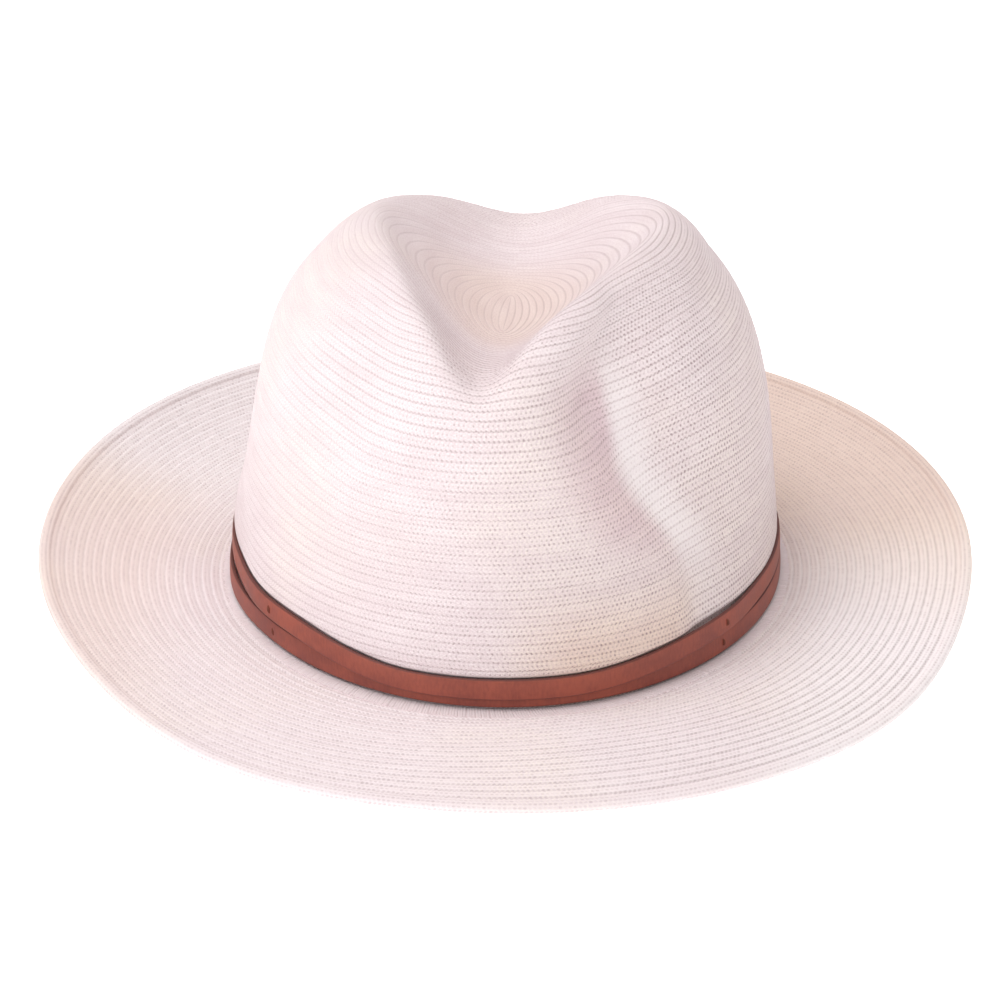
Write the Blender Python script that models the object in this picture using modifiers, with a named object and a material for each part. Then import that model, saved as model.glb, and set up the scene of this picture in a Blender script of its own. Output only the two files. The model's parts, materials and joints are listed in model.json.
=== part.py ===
"""A sewn-braid fedora of the panama shape, with a double leather strap round the crown.

The hat faces -Y, with +X on its wearer's left when worn, and stands on +Z.
Heights are measured from the break, the level where the brim leaves the crown.
The finished hat is then tipped as it lies by itself, on the dipped front edge of
the brim and the far side of the break, and set down with its lowest point at zero.
Angles run round the crown from the front towards +X. Everything is in metres.
"""

import math

import bmesh
import bpy
import numpy as np

# Crown: half sizes at the break, and how the wall leans and domes
HALF_WIDTH = 0.0865
HALF_LENGTH = 0.1065
EGG = 0.03
CROWN_HEIGHT = 0.122
WALL_LEAN = 0.065
LEFT_FULLNESS = 0.020
SHOULDER_ACROSS = 2.2
SHOULDER_UP = 4.3
TIP_SLIT = 0.018
TIP_SHIFT_BACK = 0.003
CROWN_SHIFT = 0.0012
SIDE_TILT = 0.015
BACK_DROP = 0.008
BACK_REACH = 0.090
CROWN_WALL = 0.0016
CROWN_FOOT = 0.0006

# Teardrop dent in the top: its floor and half width from front to back
DENT_STATIONS = (-0.095, -0.080, -0.050, -0.020, 0.005, 0.030, 0.055, 0.075, 0.100)
DENT_FLOOR = (0.095, 0.092, 0.0885, 0.0855, 0.083, 0.0825, 0.084, 0.0875, 0.095)
DENT_HALF_WIDTH = (0.014, 0.017, 0.025, 0.031, 0.035, 0.036, 0.034, 0.030, 0.024)
DENT_AXIS_STATIONS = (-0.080, 0.0, 0.060)
DENT_AXIS_SHIFT = (-0.001, 0.004, 0.001)
DENT_RISE = 0.026
RIDGE_ROUNDING = 0.0036
DENT_PULL = 0.25
DENT_FROM, DENT_OVER = 0.040, 0.030
PULL_FROM, PULL_OVER = 0.020, 0.060

# How much squarer the shoulders are than the plain dome, at the right and the left
SPREAD_RIGHT, SPREAD_LEFT = 0.0045, 0.0028
SPREAD_FROM, SPREAD_OVER = 0.098, 0.014
SPREAD_ASIDE = 0.045

# Pinches beside the front: height stations, their angles there, then depth and spread
PINCH_HEIGHTS = (0.030, 0.062, 0.092, 0.108)
RIGHT_PINCH = {
    "angles": (44, 32.5, 25, 36), "height": 0.080, "depth": 0.012, "ahead": 11, "behind": 20, "tall": 0.030,
}
LEFT_PINCH = {
    "angles": (-40, -32, -28, -34), "height": 0.085, "depth": 0.006, "ahead": 16, "behind": 13, "tall": 0.028,
}
LEFT_HOLLOW = {
    "angles": (-88, -88, -88, -88), "height": 0.060, "depth": 0.0034, "ahead": 40, "behind": 40, "tall": 0.034,
}
PINCHES = (RIGHT_PINCH, LEFT_PINCH, LEFT_HOLLOW)
PINCH_FADE_IN = 0.025
PINCH_FADE_OVER = 0.035

# Brim: width, thickness, and the height of its edge at twelve places round it
BRIM_WIDTH_FRONT = 0.0625
BRIM_WIDTH_BACK = 0.0603
BRIM_THICKNESS = 0.0015
FLAT_RINGS = (0.0, 0.0022, 0.0044)
BRIM_FLAT = FLAT_RINGS[-1]
BRIM_DIP = -0.002
BRIM_CURL = 2.2
BRIM_BELLY = 0.004
BELLY_ANGLE = 15.0
BELLY_SPREAD = 27.0
EDGE_HEIGHTS = (
    -0.0028, -0.0049, -0.0055, 0.0065, 0.0115, 0.0142,
    0.0155, 0.0170, 0.0165, 0.0125, 0.0075, -0.0015,
)
COLLAR_HEIGHT = 0.009
COLLAR_BACK = 0.0020

# Folded row that finishes the brim's edge
EDGE_ROW_REACH = 0.0032
EDGE_ROW_WALL = 0.0007

# Leather straps, and the keeper that holds their ends together at the back
STRAP_WIDTH = 0.0064
STRAP_THICKNESS = 0.0012
LOWER_STRAP_FOOT = 0.0014
UPPER_STRAP_FOOT_FRONT = 0.0044
UPPER_STRAP_FOOT_BACK = 0.0087
UPPER_STRAP_SIDE_TILT = 0.0005
STRAP_END_GAP = 0.4
STRAP_CROSSING = (15, 36)
CROSSING_SKEW = 6
STRAP_LAP = (52, 20)
KEEPER_RAMP = (7, 22)
KEEPER_STRAP_LIFT = 0.0012
KEEPER_HALF_WIDTH = 0.0060
KEEPER_WALL = 0.0008
KEEPER_CLEARANCE = 0.0006

# Thread, sweatband and what is sewn to it
THREAD_RADIUS = 0.00025
SEAM_STITCHES = 72
SEAM_STITCH_FROM = 0.0018
SEAM_STITCH_TO = 0.0034
TACK_ANGLES = {"left": -51.0, "right": 55.0}
TACK_LENGTH = 0.0022
SWEATBAND_HEIGHT = 0.032
SWEATBAND_WALL = 0.0010
SWEATBAND_FOOT = 0.0014
SWEATBAND_LEAN = 0.0012
REED_RADIUS = 0.0008
SEWING_HEIGHT = 0.004
BOW_HALF_SPAN = 0.0105
BOW_HALF_HEIGHT = 0.0042
BOW_KNOT = 0.0020
BOW_THICKNESS = 0.0008
BOW_HEIGHT = 0.013
TAB_SIZE = (0.016, 0.0005, 0.010)
TAB_HOLLOW = 0.0009
TAB_ROUNDING = 0.00012
TAB_TURN = 24.0

# How the hat tips when it lies on a table, in degrees
REST_PITCH = -0.86
REST_ROLL = -1.48

GAP = 0.0004
AROUND = 56
CROWN_ROWS = 22
BRIM_ROWS = 8
SHARP_FROM = 40
MERGE = 1e-6

COLLECTION = "braid_fedora"


def fade(value):
    """0 below 0, 1 above 1, and a smooth step between."""
    value = np.clip(value, 0.0, 1.0)
    return value * value * (3 - 2 * value)


def through(value, stations, heights):
    """A smooth curve through a few points, flat beyond its ends."""
    stations, heights = np.array(stations), np.array(heights)
    slopes = np.gradient(heights, stations)
    value = float(np.clip(value, stations[0], stations[-1]))
    i = min(int(np.searchsorted(stations, value, side="right")) - 1, len(stations) - 2)
    span = stations[i + 1] - stations[i]
    s = (value - stations[i]) / span
    return (
        (1 + 2 * s) * (1 - s) ** 2 * heights[i]
        + s * (1 - s) ** 2 * span * slopes[i]
        + s * s * (3 - 2 * s) * heights[i + 1]
        + s * s * (s - 1) * span * slopes[i + 1]
    )


def round_ring(angle, heights):
    """A smooth closed curve through values spaced evenly round the hat."""
    step = 2 * math.pi / len(heights)
    place = (angle % (2 * math.pi)) / step
    i = int(place)
    s = place - i
    before, here, there, beyond = (heights[(i + k) % len(heights)] for k in (-1, 0, 1, 2))
    return (
        here
        + s * (there - before) / 2
        + s * s * (before - 2.5 * here + 2 * there - beyond / 2)
        + s**3 * (1.5 * (here - there) + (beyond - before) / 2)
    )


def oval(angle):
    """The crown's outline at the break, narrower at the front."""
    return HALF_WIDTH * math.sin(angle) * (1 - EGG * math.cos(angle)), -HALF_LENGTH * math.cos(angle)


def outward(angle):
    """The unit direction straight out from the oval."""
    x, y = math.sin(angle) / HALF_WIDTH, -math.cos(angle) / HALF_LENGTH
    length = math.hypot(x, y)
    return x / length, y / length


def leaning(angle, across, rise):
    """The outline drawn in by the wall's lean and by the dome, towards the slit at the tip."""
    x, y = oval(angle)
    scale = across * (1 - WALL_LEAN * rise)
    left = 1 + LEFT_FULLNESS * rise if x < 0 else 1
    return x * scale * left, y * scale - TIP_SLIT * (1 - scale) * math.cos(angle) + TIP_SHIFT_BACK * rise


def arc_table():
    """The dome angle for each share of the way from the crown's foot to its tip."""
    angles = np.linspace(0, math.pi / 2, 400)
    across = np.cos(angles) ** (2 / SHOULDER_ACROSS)
    rise = np.sin(angles) ** (2 / SHOULDER_UP)
    mean = (HALF_WIDTH + HALF_LENGTH) / 2
    reach = mean * across * (1 - WALL_LEAN * rise)
    steps = np.hypot(np.diff(reach), np.diff(CROWN_HEIGHT * rise))
    way = np.concatenate([[0], np.cumsum(steps)])
    return way / way[-1], angles


WAY, DOME_ANGLES = arc_table()


def dome(angle, way):
    """The crown before it is dented and pinched."""
    turn = float(np.interp(way, WAY, DOME_ANGLES))
    across = math.cos(turn) ** (2 / SHOULDER_ACROSS) if way < 1 else 0.0
    rise = math.sin(turn) ** (2 / SHOULDER_UP)
    x, y = leaning(angle, across, rise)
    z = CROWN_HEIGHT * rise + SIDE_TILT * x * rise
    z -= BACK_DROP * rise * max(0.0, y / BACK_REACH) ** 1.5
    return x + CROWN_SHIFT, y, z + CROWN_FOOT * (1 - rise)


def pinched(x, y, z):
    """Pushes the wall towards the middle where the fingers pinch it."""
    for pinch in PINCHES:
        middle = through(z, PINCH_HEIGHTS, pinch["angles"])
        aside = math.degrees(math.atan2(x, -y)) - middle
        aside = (aside + 180) % 360 - 180
        aside /= pinch["ahead"] if aside < 0 else pinch["behind"]
        above = (z - pinch["height"]) / pinch["tall"]
        radius = math.hypot(x, y)
        push = pinch["depth"] * math.exp(-aside * aside - above * above)
        push *= fade((radius - PINCH_FADE_IN) / PINCH_FADE_OVER)
        if radius > PINCH_FADE_IN:
            x, y = x * (1 - push / radius), y * (1 - push / radius)
    return x, y, z


def dented(x, y, z):
    """Rounds the dome off against the floor and the sides of the teardrop."""
    axis = through(y, DENT_AXIS_STATIONS, DENT_AXIS_SHIFT)
    half = through(y, DENT_STATIONS, DENT_HALF_WIDTH)
    floor = through(y, DENT_STATIONS, DENT_FLOOR) + DENT_RISE * ((x - axis) / half) ** 2
    low = min(z, floor)
    rounded = low - RIDGE_ROUNDING * math.log(
        math.exp((low - z) / RIDGE_ROUNDING) + math.exp((low - floor) / RIDGE_ROUNDING)
    )
    sunk = (z - rounded) * float(fade((z - DENT_FROM) / DENT_OVER))
    return x, y + DENT_PULL * sunk * float(fade((-y - PULL_FROM) / PULL_OVER)), z - sunk


def spread(x, y, z):
    """Squares the shoulders a little."""
    top = float(fade((z - SPREAD_FROM) / SPREAD_OVER))
    right, left = float(fade(x / SPREAD_ASIDE)), float(fade(-x / SPREAD_ASIDE))
    return x + top * (SPREAD_RIGHT * right - SPREAD_LEFT * left), y, z


def crown_point(angle, way):
    return spread(*dented(*pinched(*dome(angle, way))))


def wall_point(angle, out, height):
    """A point beside the foot of the crown's wall, this far outside its face."""
    rise = height / CROWN_HEIGHT
    x, y = leaning(angle, 1.0, rise)
    away = outward(angle)
    return x + CROWN_SHIFT + away[0] * out, y + away[1] * out, height


def brim_point(angle, out, above=0.0):
    """A point on the brim's upper face, this far out from the crown."""
    width = brim_width(angle)
    share = max(0.0, (out - BRIM_FLAT) / (width - BRIM_FLAT))
    edge = round_ring(angle, EDGE_HEIGHTS)
    height = BRIM_DIP * share + (edge - BRIM_DIP) * share**BRIM_CURL
    aside = ((math.degrees(angle) + 180) % 360 - 180 - BELLY_ANGLE) / BELLY_SPREAD
    height += 4 * share * max(0.0, 1 - share) * BRIM_BELLY * math.exp(-aside * aside)
    x, y = oval(angle)
    away = outward(angle)
    return x + CROWN_SHIFT + away[0] * out, y + away[1] * out, height + above


def brim_width(angle):
    middle, swing = (BRIM_WIDTH_FRONT + BRIM_WIDTH_BACK) / 2, (BRIM_WIDTH_FRONT - BRIM_WIDTH_BACK) / 2
    return middle + swing * math.cos(angle)


def lower_strap_foot(angle):
    """The lower strap lifts a little where the keeper passes under it."""
    return LOWER_STRAP_FOOT + KEEPER_STRAP_LIFT * near_keeper(angle)


def upper_strap_foot(angle):
    """Low at the front, where the upper strap laps the lower one, and clear of it elsewhere."""
    start = STRAP_CROSSING[0] + CROSSING_SKEW * math.sin(angle)
    aside = fade((math.degrees(abs(angle)) - start) / STRAP_CROSSING[1])
    side = UPPER_STRAP_FOOT_BACK - UPPER_STRAP_SIDE_TILT * math.sin(angle)
    rise = (side - UPPER_STRAP_FOOT_FRONT) * float(aside)
    return UPPER_STRAP_FOOT_FRONT + rise + KEEPER_STRAP_LIFT * near_keeper(angle)


def near_keeper(angle):
    return float(1 - fade((180 - math.degrees(abs(angle)) - KEEPER_RAMP[0]) / KEEPER_RAMP[1]))


def strap_out(angle, upper):
    """How far a strap's inner face stands off the crown."""
    lapped = 1 - fade((math.degrees(abs(angle)) - STRAP_LAP[0]) / STRAP_LAP[1]) if upper else 0.0
    keeper = (KEEPER_WALL + KEEPER_CLEARANCE) * near_keeper(angle)
    return GAP + (STRAP_THICKNESS + GAP) * float(lapped) + keeper


def strap_place(upper, span):
    """The inner face of a strap, from its foot to its top edge."""
    foot = upper_strap_foot if upper else lower_strap_foot

    def place(u, v):
        angle = (2 * u - 1) * span
        return wall_point(angle, strap_out(angle, upper), foot(angle) + STRAP_WIDTH * v)

    return place


def sheet(name, place, around, along, thickness, side, slot):
    """A grid bent by place(u, v), joined where its edges meet, and thickened to one side."""
    bm = bmesh.new()
    bmesh.ops.create_grid(bm, x_segments=around, y_segments=along, size=1)
    for vert in bm.verts:
        vert.co = place((vert.co.x + 1) / 2, (vert.co.y + 1) / 2)
    bmesh.ops.remove_doubles(bm, verts=bm.verts, dist=MERGE)
    mesh = bpy.data.meshes.new(name)
    bm.to_mesh(mesh)
    bm.free()
    mesh.shade_smooth()
    mesh.set_sharp_from_angle(angle=math.radians(SHARP_FROM))
    piece = add_object(name, mesh, slot)
    wall = piece.modifiers.new("wall", "SOLIDIFY")
    wall.thickness = thickness
    wall.offset = side
    wall.use_even_offset = True
    wall.use_quality_normals = True
    return piece


def thread(name, points, radius, slot, closed=False):
    """A round thread along a line of points."""
    curve = bpy.data.curves.new(name, "CURVE")
    curve.dimensions = "3D"
    curve.bevel_depth = radius
    curve.bevel_resolution = 0
    curve.use_fill_caps = not closed
    spline = curve.splines.new("POLY")
    spline.points.add(len(points) - 1)
    for spot, point in zip(spline.points, points):
        spot.co = (*point, 1)
    spline.use_cyclic_u = closed
    return add_object(name, curve, slot)


def add_object(name, data, slot):
    piece = bpy.data.objects.new(name, data)
    data.materials.append(MATERIALS[slot])
    bpy.data.collections[COLLECTION].objects.link(piece)
    return piece


def material(name, color, roughness):
    made = bpy.data.materials.new(name)
    made.use_nodes = True
    shader = made.node_tree.nodes["Principled BSDF"]
    shader.inputs["Base Color"].default_value = (*color, 1)
    shader.inputs["Roughness"].default_value = roughness
    made.diffuse_color = (*color, 1)
    return made


def make_crown():
    """The crown's braid shell, from its foot to the slit where the spiral starts."""
    return sheet(
        "crown",
        lambda u, v: crown_point((2 * u - 1) * math.pi, v),
        AROUND,
        CROWN_ROWS,
        CROWN_WALL,
        -1,
        "braid",
    )


def make_brim():
    """The brim with the collar that stands up inside the crown."""
    levels = [(-COLLAR_BACK, COLLAR_HEIGHT), (-COLLAR_BACK, 0.0)]
    levels += [(out, 0.0) for out in FLAT_RINGS]

    def place(u, v):
        angle = (2 * u - 1) * math.pi
        index = round(v * (len(levels) - 1 + BRIM_ROWS))
        if index < len(levels):
            return wall_point(angle, *levels[index])
        share = (index - len(levels) + 1) / BRIM_ROWS
        return brim_point(angle, BRIM_FLAT + share * (brim_width(angle) - BRIM_FLAT))

    return sheet("brim", place, AROUND, len(levels) - 1 + BRIM_ROWS, BRIM_THICKNESS, 1, "braid")


def make_edge_row():
    """The last row of braid, folded over the brim's edge."""
    under = -BRIM_THICKNESS - GAP
    section = ((-EDGE_ROW_REACH, GAP), (GAP, GAP), (GAP, under), (-EDGE_ROW_REACH, under))

    def place(u, v):
        angle = (2 * u - 1) * math.pi
        out, above = section[round(v * (len(section) - 1))]
        width = brim_width(angle)
        last_row = (width - BRIM_FLAT) / BRIM_ROWS
        edge = np.array(brim_point(angle, width))
        along = edge - brim_point(angle, width - last_row)
        along /= np.linalg.norm(along)
        away = outward(angle)
        up = np.array((-along[2] * away[0], -along[2] * away[1], math.hypot(along[0], along[1])))
        return tuple(edge + along * out + up * above)

    return sheet("edge_row", place, AROUND, len(section) - 1, EDGE_ROW_WALL, -1, "braid")


def make_seam_thread():
    """Short stitches that hold the crown to the brim, at the foot of the straps."""
    lift = THREAD_RADIUS + GAP
    count = 2 * SEAM_STITCHES
    points = []
    for k in range(count):
        out = SEAM_STITCH_FROM if k % 2 else SEAM_STITCH_TO
        points.append(brim_point((2 * k / count - 1) * math.pi, out, lift))
    return thread("seam_thread", points, THREAD_RADIUS, "thread", closed=True)


def make_straps():
    """Two turns of leather strap, whose ends meet inside the keeper."""
    span = math.pi - math.radians(STRAP_END_GAP)
    for name, upper in (("lower_strap", False), ("upper_strap", True)):
        sheet(name, strap_place(upper, span), AROUND, 1, STRAP_THICKNESS, 1, "strap")


def make_keeper():
    """The leather sleeve that holds the straps' ends at the back."""
    inside = strap_out(math.pi, False) - KEEPER_CLEARANCE
    outside = strap_out(math.pi, False) + STRAP_THICKNESS + KEEPER_CLEARANCE
    low = lower_strap_foot(math.pi) - KEEPER_CLEARANCE
    high = upper_strap_foot(math.pi) + STRAP_WIDTH + KEEPER_CLEARANCE
    section = ((inside, low), (outside, low), (outside, high), (inside, high), (inside, low))
    half = KEEPER_HALF_WIDTH / HALF_WIDTH

    def place(u, v):
        out, height = section[round(v * (len(section) - 1))]
        return wall_point(math.pi + (2 * u - 1) * half, out, height)

    sheet("strap_keeper", place, 4, len(section) - 1, KEEPER_WALL, 1, "strap")
    front = outside + KEEPER_WALL + GAP + THREAD_RADIUS
    middle = (low + high) / 2
    points = [wall_point(math.pi, front, middle + TACK_LENGTH * k) for k in (-1, -0.3, 0.3, 1)]
    thread("keeper_stitch", points, THREAD_RADIUS, "thread")


def make_tacks():
    """One thread tack on each strap at each side."""
    for side, degrees in TACK_ANGLES.items():
        angle = math.radians(degrees)
        for level, upper in (("upper", True), ("lower", False)):
            foot = upper_strap_foot(angle) if upper else lower_strap_foot(angle)
            out = strap_out(angle, upper) + STRAP_THICKNESS + GAP + THREAD_RADIUS
            middle = foot + STRAP_WIDTH / 2
            points = [wall_point(angle, out, middle + TACK_LENGTH * k / 2) for k in (-1, -0.3, 0.3, 1)]
            thread(f"tack_{side}_{level}", points, THREAD_RADIUS, "thread")


def sweatband_out(height):
    """How far the sweatband's outer face stands inside the crown's outer face."""
    return -(COLLAR_BACK + BRIM_THICKNESS + GAP) - SWEATBAND_LEAN * height / SWEATBAND_HEIGHT


def make_sweatband():
    """The band that lies against the head, its reed and the stitches along its foot."""

    def place(u, v):
        height = SWEATBAND_FOOT + (SWEATBAND_HEIGHT - SWEATBAND_FOOT) * v
        return wall_point((2 * u - 1) * math.pi, sweatband_out(height), height)

    sheet("sweatband", place, AROUND, 3, SWEATBAND_WALL, -1, "sweatband")
    angles = [2 * math.pi * k / AROUND - math.pi for k in range(AROUND)]
    middle = sweatband_out(0) - REED_RADIUS
    reed = [wall_point(angle, middle, SWEATBAND_FOOT - GAP - REED_RADIUS) for angle in angles]
    thread("sweatband_reed", reed, REED_RADIUS, "sweatband", closed=True)
    face = sweatband_out(SEWING_HEIGHT) - SWEATBAND_WALL - GAP - THREAD_RADIUS
    stitches = [wall_point(angle, face, SEWING_HEIGHT) for angle in angles]
    thread("sweatband_stitching", stitches, THREAD_RADIUS, "thread", closed=True)


def make_bow():
    """A small flat bow over the sweatband's join at the back."""
    curve = bpy.data.curves.new("sweatband_bow", "CURVE")
    curve.dimensions = "2D"
    curve.fill_mode = "BOTH"
    curve.extrude = BOW_THICKNESS / 2
    outline = (
        (BOW_KNOT, BOW_KNOT / 2),
        (BOW_HALF_SPAN * 0.7, BOW_HALF_HEIGHT),
        (BOW_HALF_SPAN, BOW_HALF_HEIGHT * 0.6),
        (BOW_HALF_SPAN, -BOW_HALF_HEIGHT * 0.6),
        (BOW_HALF_SPAN * 0.7, -BOW_HALF_HEIGHT),
        (BOW_KNOT, -BOW_KNOT / 2),
    )
    outline += tuple((-x, y) for x, y in reversed(outline))
    spline = curve.splines.new("POLY")
    spline.points.add(len(outline) - 1)
    for spot, (x, y) in zip(spline.points, outline):
        spot.co = (x, y, 0, 1)
    spline.use_cyclic_u = True
    bow = add_object("sweatband_bow", curve, "sweatband")
    inner = sweatband_out(BOW_HEIGHT) - SWEATBAND_WALL
    x, y, z = wall_point(math.pi, inner, BOW_HEIGHT)
    sag = BOW_HALF_SPAN**2 * HALF_LENGTH / (2 * HALF_WIDTH**2)
    lean = (SWEATBAND_LEAN + WALL_LEAN * HALF_LENGTH * BOW_HALF_HEIGHT / CROWN_HEIGHT) / 2
    bow.location = (x, y - sag - lean - GAP - BOW_THICKNESS / 2, z)
    bow.rotation_euler = (math.pi / 2, 0, 0)
    return bow


def make_size_tab():
    """A blank woven tab sewn inside the sweatband beside the bow."""
    angle = math.pi - math.radians(TAB_TURN)
    inner = sweatband_out(BOW_HEIGHT) - SWEATBAND_WALL
    away = outward(angle)
    x, y, z = wall_point(angle, inner - GAP - TAB_HOLLOW, BOW_HEIGHT)
    bpy.ops.mesh.primitive_cube_add(size=1)
    tab = bpy.context.object
    tab.name = tab.data.name = "size_tab"
    for vert in tab.data.vertices:
        vert.co = [c * side for c, side in zip(vert.co, TAB_SIZE)]
    tab.location = (x, y, z)
    tab.rotation_euler = (0, 0, math.atan2(away[1], away[0]) - math.pi / 2)
    rounding = tab.modifiers.new("rounding", "BEVEL")
    rounding.width = TAB_ROUNDING
    rounding.segments = 1
    tab.data.materials.append(MATERIALS["sweatband"])
    for owner in list(tab.users_collection):
        owner.objects.unlink(tab)
    bpy.data.collections[COLLECTION].objects.link(tab)
    return tab


def set_down():
    """Tips the whole hat as it lies, lowest point at zero and the middle of its box over the origin."""
    stand = bpy.data.objects.new("stand", None)
    pieces = list(bpy.data.collections[COLLECTION].objects)
    bpy.data.collections[COLLECTION].objects.link(stand)
    stand.rotation_euler = (math.radians(REST_PITCH), math.radians(REST_ROLL), 0)
    for piece in pieces:
        piece.parent = stand
    bpy.context.view_layer.update()
    graph = bpy.context.evaluated_depsgraph_get()
    corners = []
    for piece in pieces:
        evaluated = piece.evaluated_get(graph)
        mesh = evaluated.to_mesh()
        corners += [piece.matrix_world @ vert.co for vert in mesh.vertices]
        evaluated.to_mesh_clear()
    low = np.min(corners, axis=0)
    high = np.max(corners, axis=0)
    stand.location = (-(low[0] + high[0]) / 2, -(low[1] + high[1]) / 2, -low[2])


for old in list(bpy.data.objects):
    bpy.data.objects.remove(old, do_unlink=True)
bpy.context.scene.collection.children.link(bpy.data.collections.new(COLLECTION))

MATERIALS = {
    "braid": material("braid", (0.86, 0.80, 0.77), 0.75),
    "strap": material("strap", (0.32, 0.10, 0.065), 0.45),
    "thread": material("thread", (0.42, 0.20, 0.13), 0.60),
    "sweatband": material("sweatband", (0.78, 0.72, 0.64), 0.85),
}

make_crown()
make_brim()
make_edge_row()
make_seam_thread()
make_straps()
make_keeper()
make_tacks()
make_sweatband()
make_bow()
make_size_tab()
set_down()
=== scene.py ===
"""The finish of a sewn-braid fedora: its rows of braid, leather straps, stitches and lining.

Run as a script, it dresses the solid model that the frame loads. Points are worked out
in the hat's own frame, where the front is -Y, heights are measured from the break
between crown and brim, and angles run round from the front towards +X. They are then
tipped with the hat as it lies on its table. Everything is in metres.
"""

import json
import math

import bmesh
import bpy
import numpy as np
from bpy.props import FloatProperty, FloatVectorProperty, IntProperty, PointerProperty
from mathutils import Euler, Matrix, Vector


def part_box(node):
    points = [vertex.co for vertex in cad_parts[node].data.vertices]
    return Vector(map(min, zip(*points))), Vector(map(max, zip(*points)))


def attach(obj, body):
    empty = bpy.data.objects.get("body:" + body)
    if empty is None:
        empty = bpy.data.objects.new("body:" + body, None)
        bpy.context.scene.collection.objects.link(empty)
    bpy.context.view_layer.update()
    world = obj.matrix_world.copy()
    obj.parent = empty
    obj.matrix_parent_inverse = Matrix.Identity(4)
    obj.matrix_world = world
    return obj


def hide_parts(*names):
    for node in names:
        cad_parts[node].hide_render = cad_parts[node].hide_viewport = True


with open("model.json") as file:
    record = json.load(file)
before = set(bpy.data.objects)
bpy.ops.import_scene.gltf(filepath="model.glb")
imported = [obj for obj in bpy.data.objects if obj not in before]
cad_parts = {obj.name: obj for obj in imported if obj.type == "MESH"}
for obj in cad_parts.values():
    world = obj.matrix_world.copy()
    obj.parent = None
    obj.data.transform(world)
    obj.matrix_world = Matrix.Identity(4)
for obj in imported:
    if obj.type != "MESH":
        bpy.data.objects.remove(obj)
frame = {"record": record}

bl_info = {
    "name": "Braid Fedora",
    "version": (1, 0, 0),
    "blender": (4, 5, 0),
    "location": "3D View > Sidebar > Hat",
    "description": "Braid rows, straps, stitches and lining of a fedora",
    "category": "Add Mesh",
}

# The crown's form: half sizes at the break, lean, dome and tip
HALF_WIDTH = 0.0865
HALF_LENGTH = 0.1065
EGG = 0.03
CROWN_HEIGHT = 0.122
WALL_LEAN = 0.065
LEFT_FULLNESS = 0.020
SHOULDER_ACROSS = 2.2
SHOULDER_UP = 4.3
TIP_SLIT = 0.018
TIP_SHIFT_BACK = 0.003
CROWN_SHIFT = 0.0012
SIDE_TILT = 0.032
BACK_DROP = 0.008
BACK_REACH = 0.090
BACK_POWER = 1.5
CROWN_WALL = 0.0016
CROWN_FOOT = 0.0006

# The teardrop dent: its floor and half width from front to back
DENT_STATIONS = (-0.095, -0.080, -0.050, -0.020, 0.005, 0.030, 0.055, 0.075, 0.100)
DENT_FLOOR = (0.095, 0.092, 0.0885, 0.0855, 0.083, 0.0825, 0.084, 0.0875, 0.095)
DENT_HALF_WIDTH = (0.014, 0.017, 0.025, 0.031, 0.035, 0.036, 0.034, 0.030, 0.024)
DENT_AXIS_STATIONS = (-0.080, 0.0, 0.060)
DENT_AXIS_SHIFT = (-0.001, 0.004, 0.001)
DENT_RISE = 0.026
RIDGE_ROUNDING = 0.0042
DENT_PULL = 0.25
DENT_FROM, DENT_OVER = 0.040, 0.030
PULL_FROM, PULL_OVER = 0.020, 0.060

# How much squarer the shoulders are than the plain dome, at the right and the left
SPREAD_RIGHT, SPREAD_LEFT = 0.0045, 0.0028
SPREAD_FROM, SPREAD_OVER = 0.098, 0.014
SPREAD_ASIDE = 0.045

# Pinches: angles in degrees at four heights, then where each is deepest, and its spread
PINCH_HEIGHTS = (0.030, 0.062, 0.092, 0.108)
PINCH_FIELDS = ("angles", "height", "depth", "ahead", "behind", "tall")
RIGHT_PINCH = ((44, 32.5, 25, 36), 0.078, 0.0145, 9, 20, 0.032)
LEFT_PINCH = ((-40, -32, -28, -34), 0.085, 0.006, 16, 13, 0.028)
LEFT_HOLLOW = ((-88, -88, -88, -88), 0.060, 0.0034, 40, 40, 0.034)
RIGHT_TUCK = ((42, 40, 40, 40), 0.025, 0.0030, 3, 14, 0.010)
PINCHES = [dict(zip(PINCH_FIELDS, pinch)) for pinch in (RIGHT_PINCH, LEFT_PINCH, LEFT_HOLLOW, RIGHT_TUCK)]
PINCH_FADE_IN = 0.025
PINCH_FADE_OVER = 0.035

# The brim's form: width, and the height of its edge every thirty degrees
BRIM_WIDTH_FRONT = 0.0625
BRIM_WIDTH_BACK = 0.0603
BRIM_THICKNESS = 0.0015
BRIM_FLAT = 0.0044
BRIM_DIP = -0.002
BRIM_CURL = 2.2
BRIM_BELLY = 0.004
BELLY_ANGLE = 15.0
BELLY_SPREAD = 27.0
EDGE_HEIGHTS = (
    -0.0028, -0.0049, -0.0055, 0.0065, 0.0115, 0.0142,
    0.0155, 0.0170, 0.0165, 0.0125, 0.0075, -0.0015,
)
COLLAR_HEIGHT = 0.009
COLLAR_BACK = 0.0020
COLLAR_FOOT = 0.0008
EDGE_INSET = 0.0012
EDGE_ROW_REACH = 0.0029
EDGE_ROW_WALL = 0.00055
EDGE_ROW_TURN = 60
UNDER_CLEARANCE = 0.00015

# How far up the crown each share of its rows has come, at the front and at the sides
ROW_SHARES = (0.0, 0.2, 0.4, 0.6, 0.8, 1.0)
WAY_AT_FRONT = (0.0, 0.184, 0.379, 0.607, 0.813, 1.0)
WAY_AT_SIDES = (0.0, 0.198, 0.431, 0.638, 0.8155, 1.0)

# A row's section across its width: the share of the way across, and the lift there
LAPPED_ROW = ((0.0, -0.35), (0.07, 0.42), (0.20, 0.60), (0.50, 0.38), (0.82, -0.05))
INNER_ROW = ((0.0, -0.25), (0.5, 0.25))
UNDER_ROW = ((0.0, -0.3), (0.35, 0.35), (0.8, 0.2))
LAP_STEP = 0.001
ROW_PITCH = 0.00275

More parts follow.
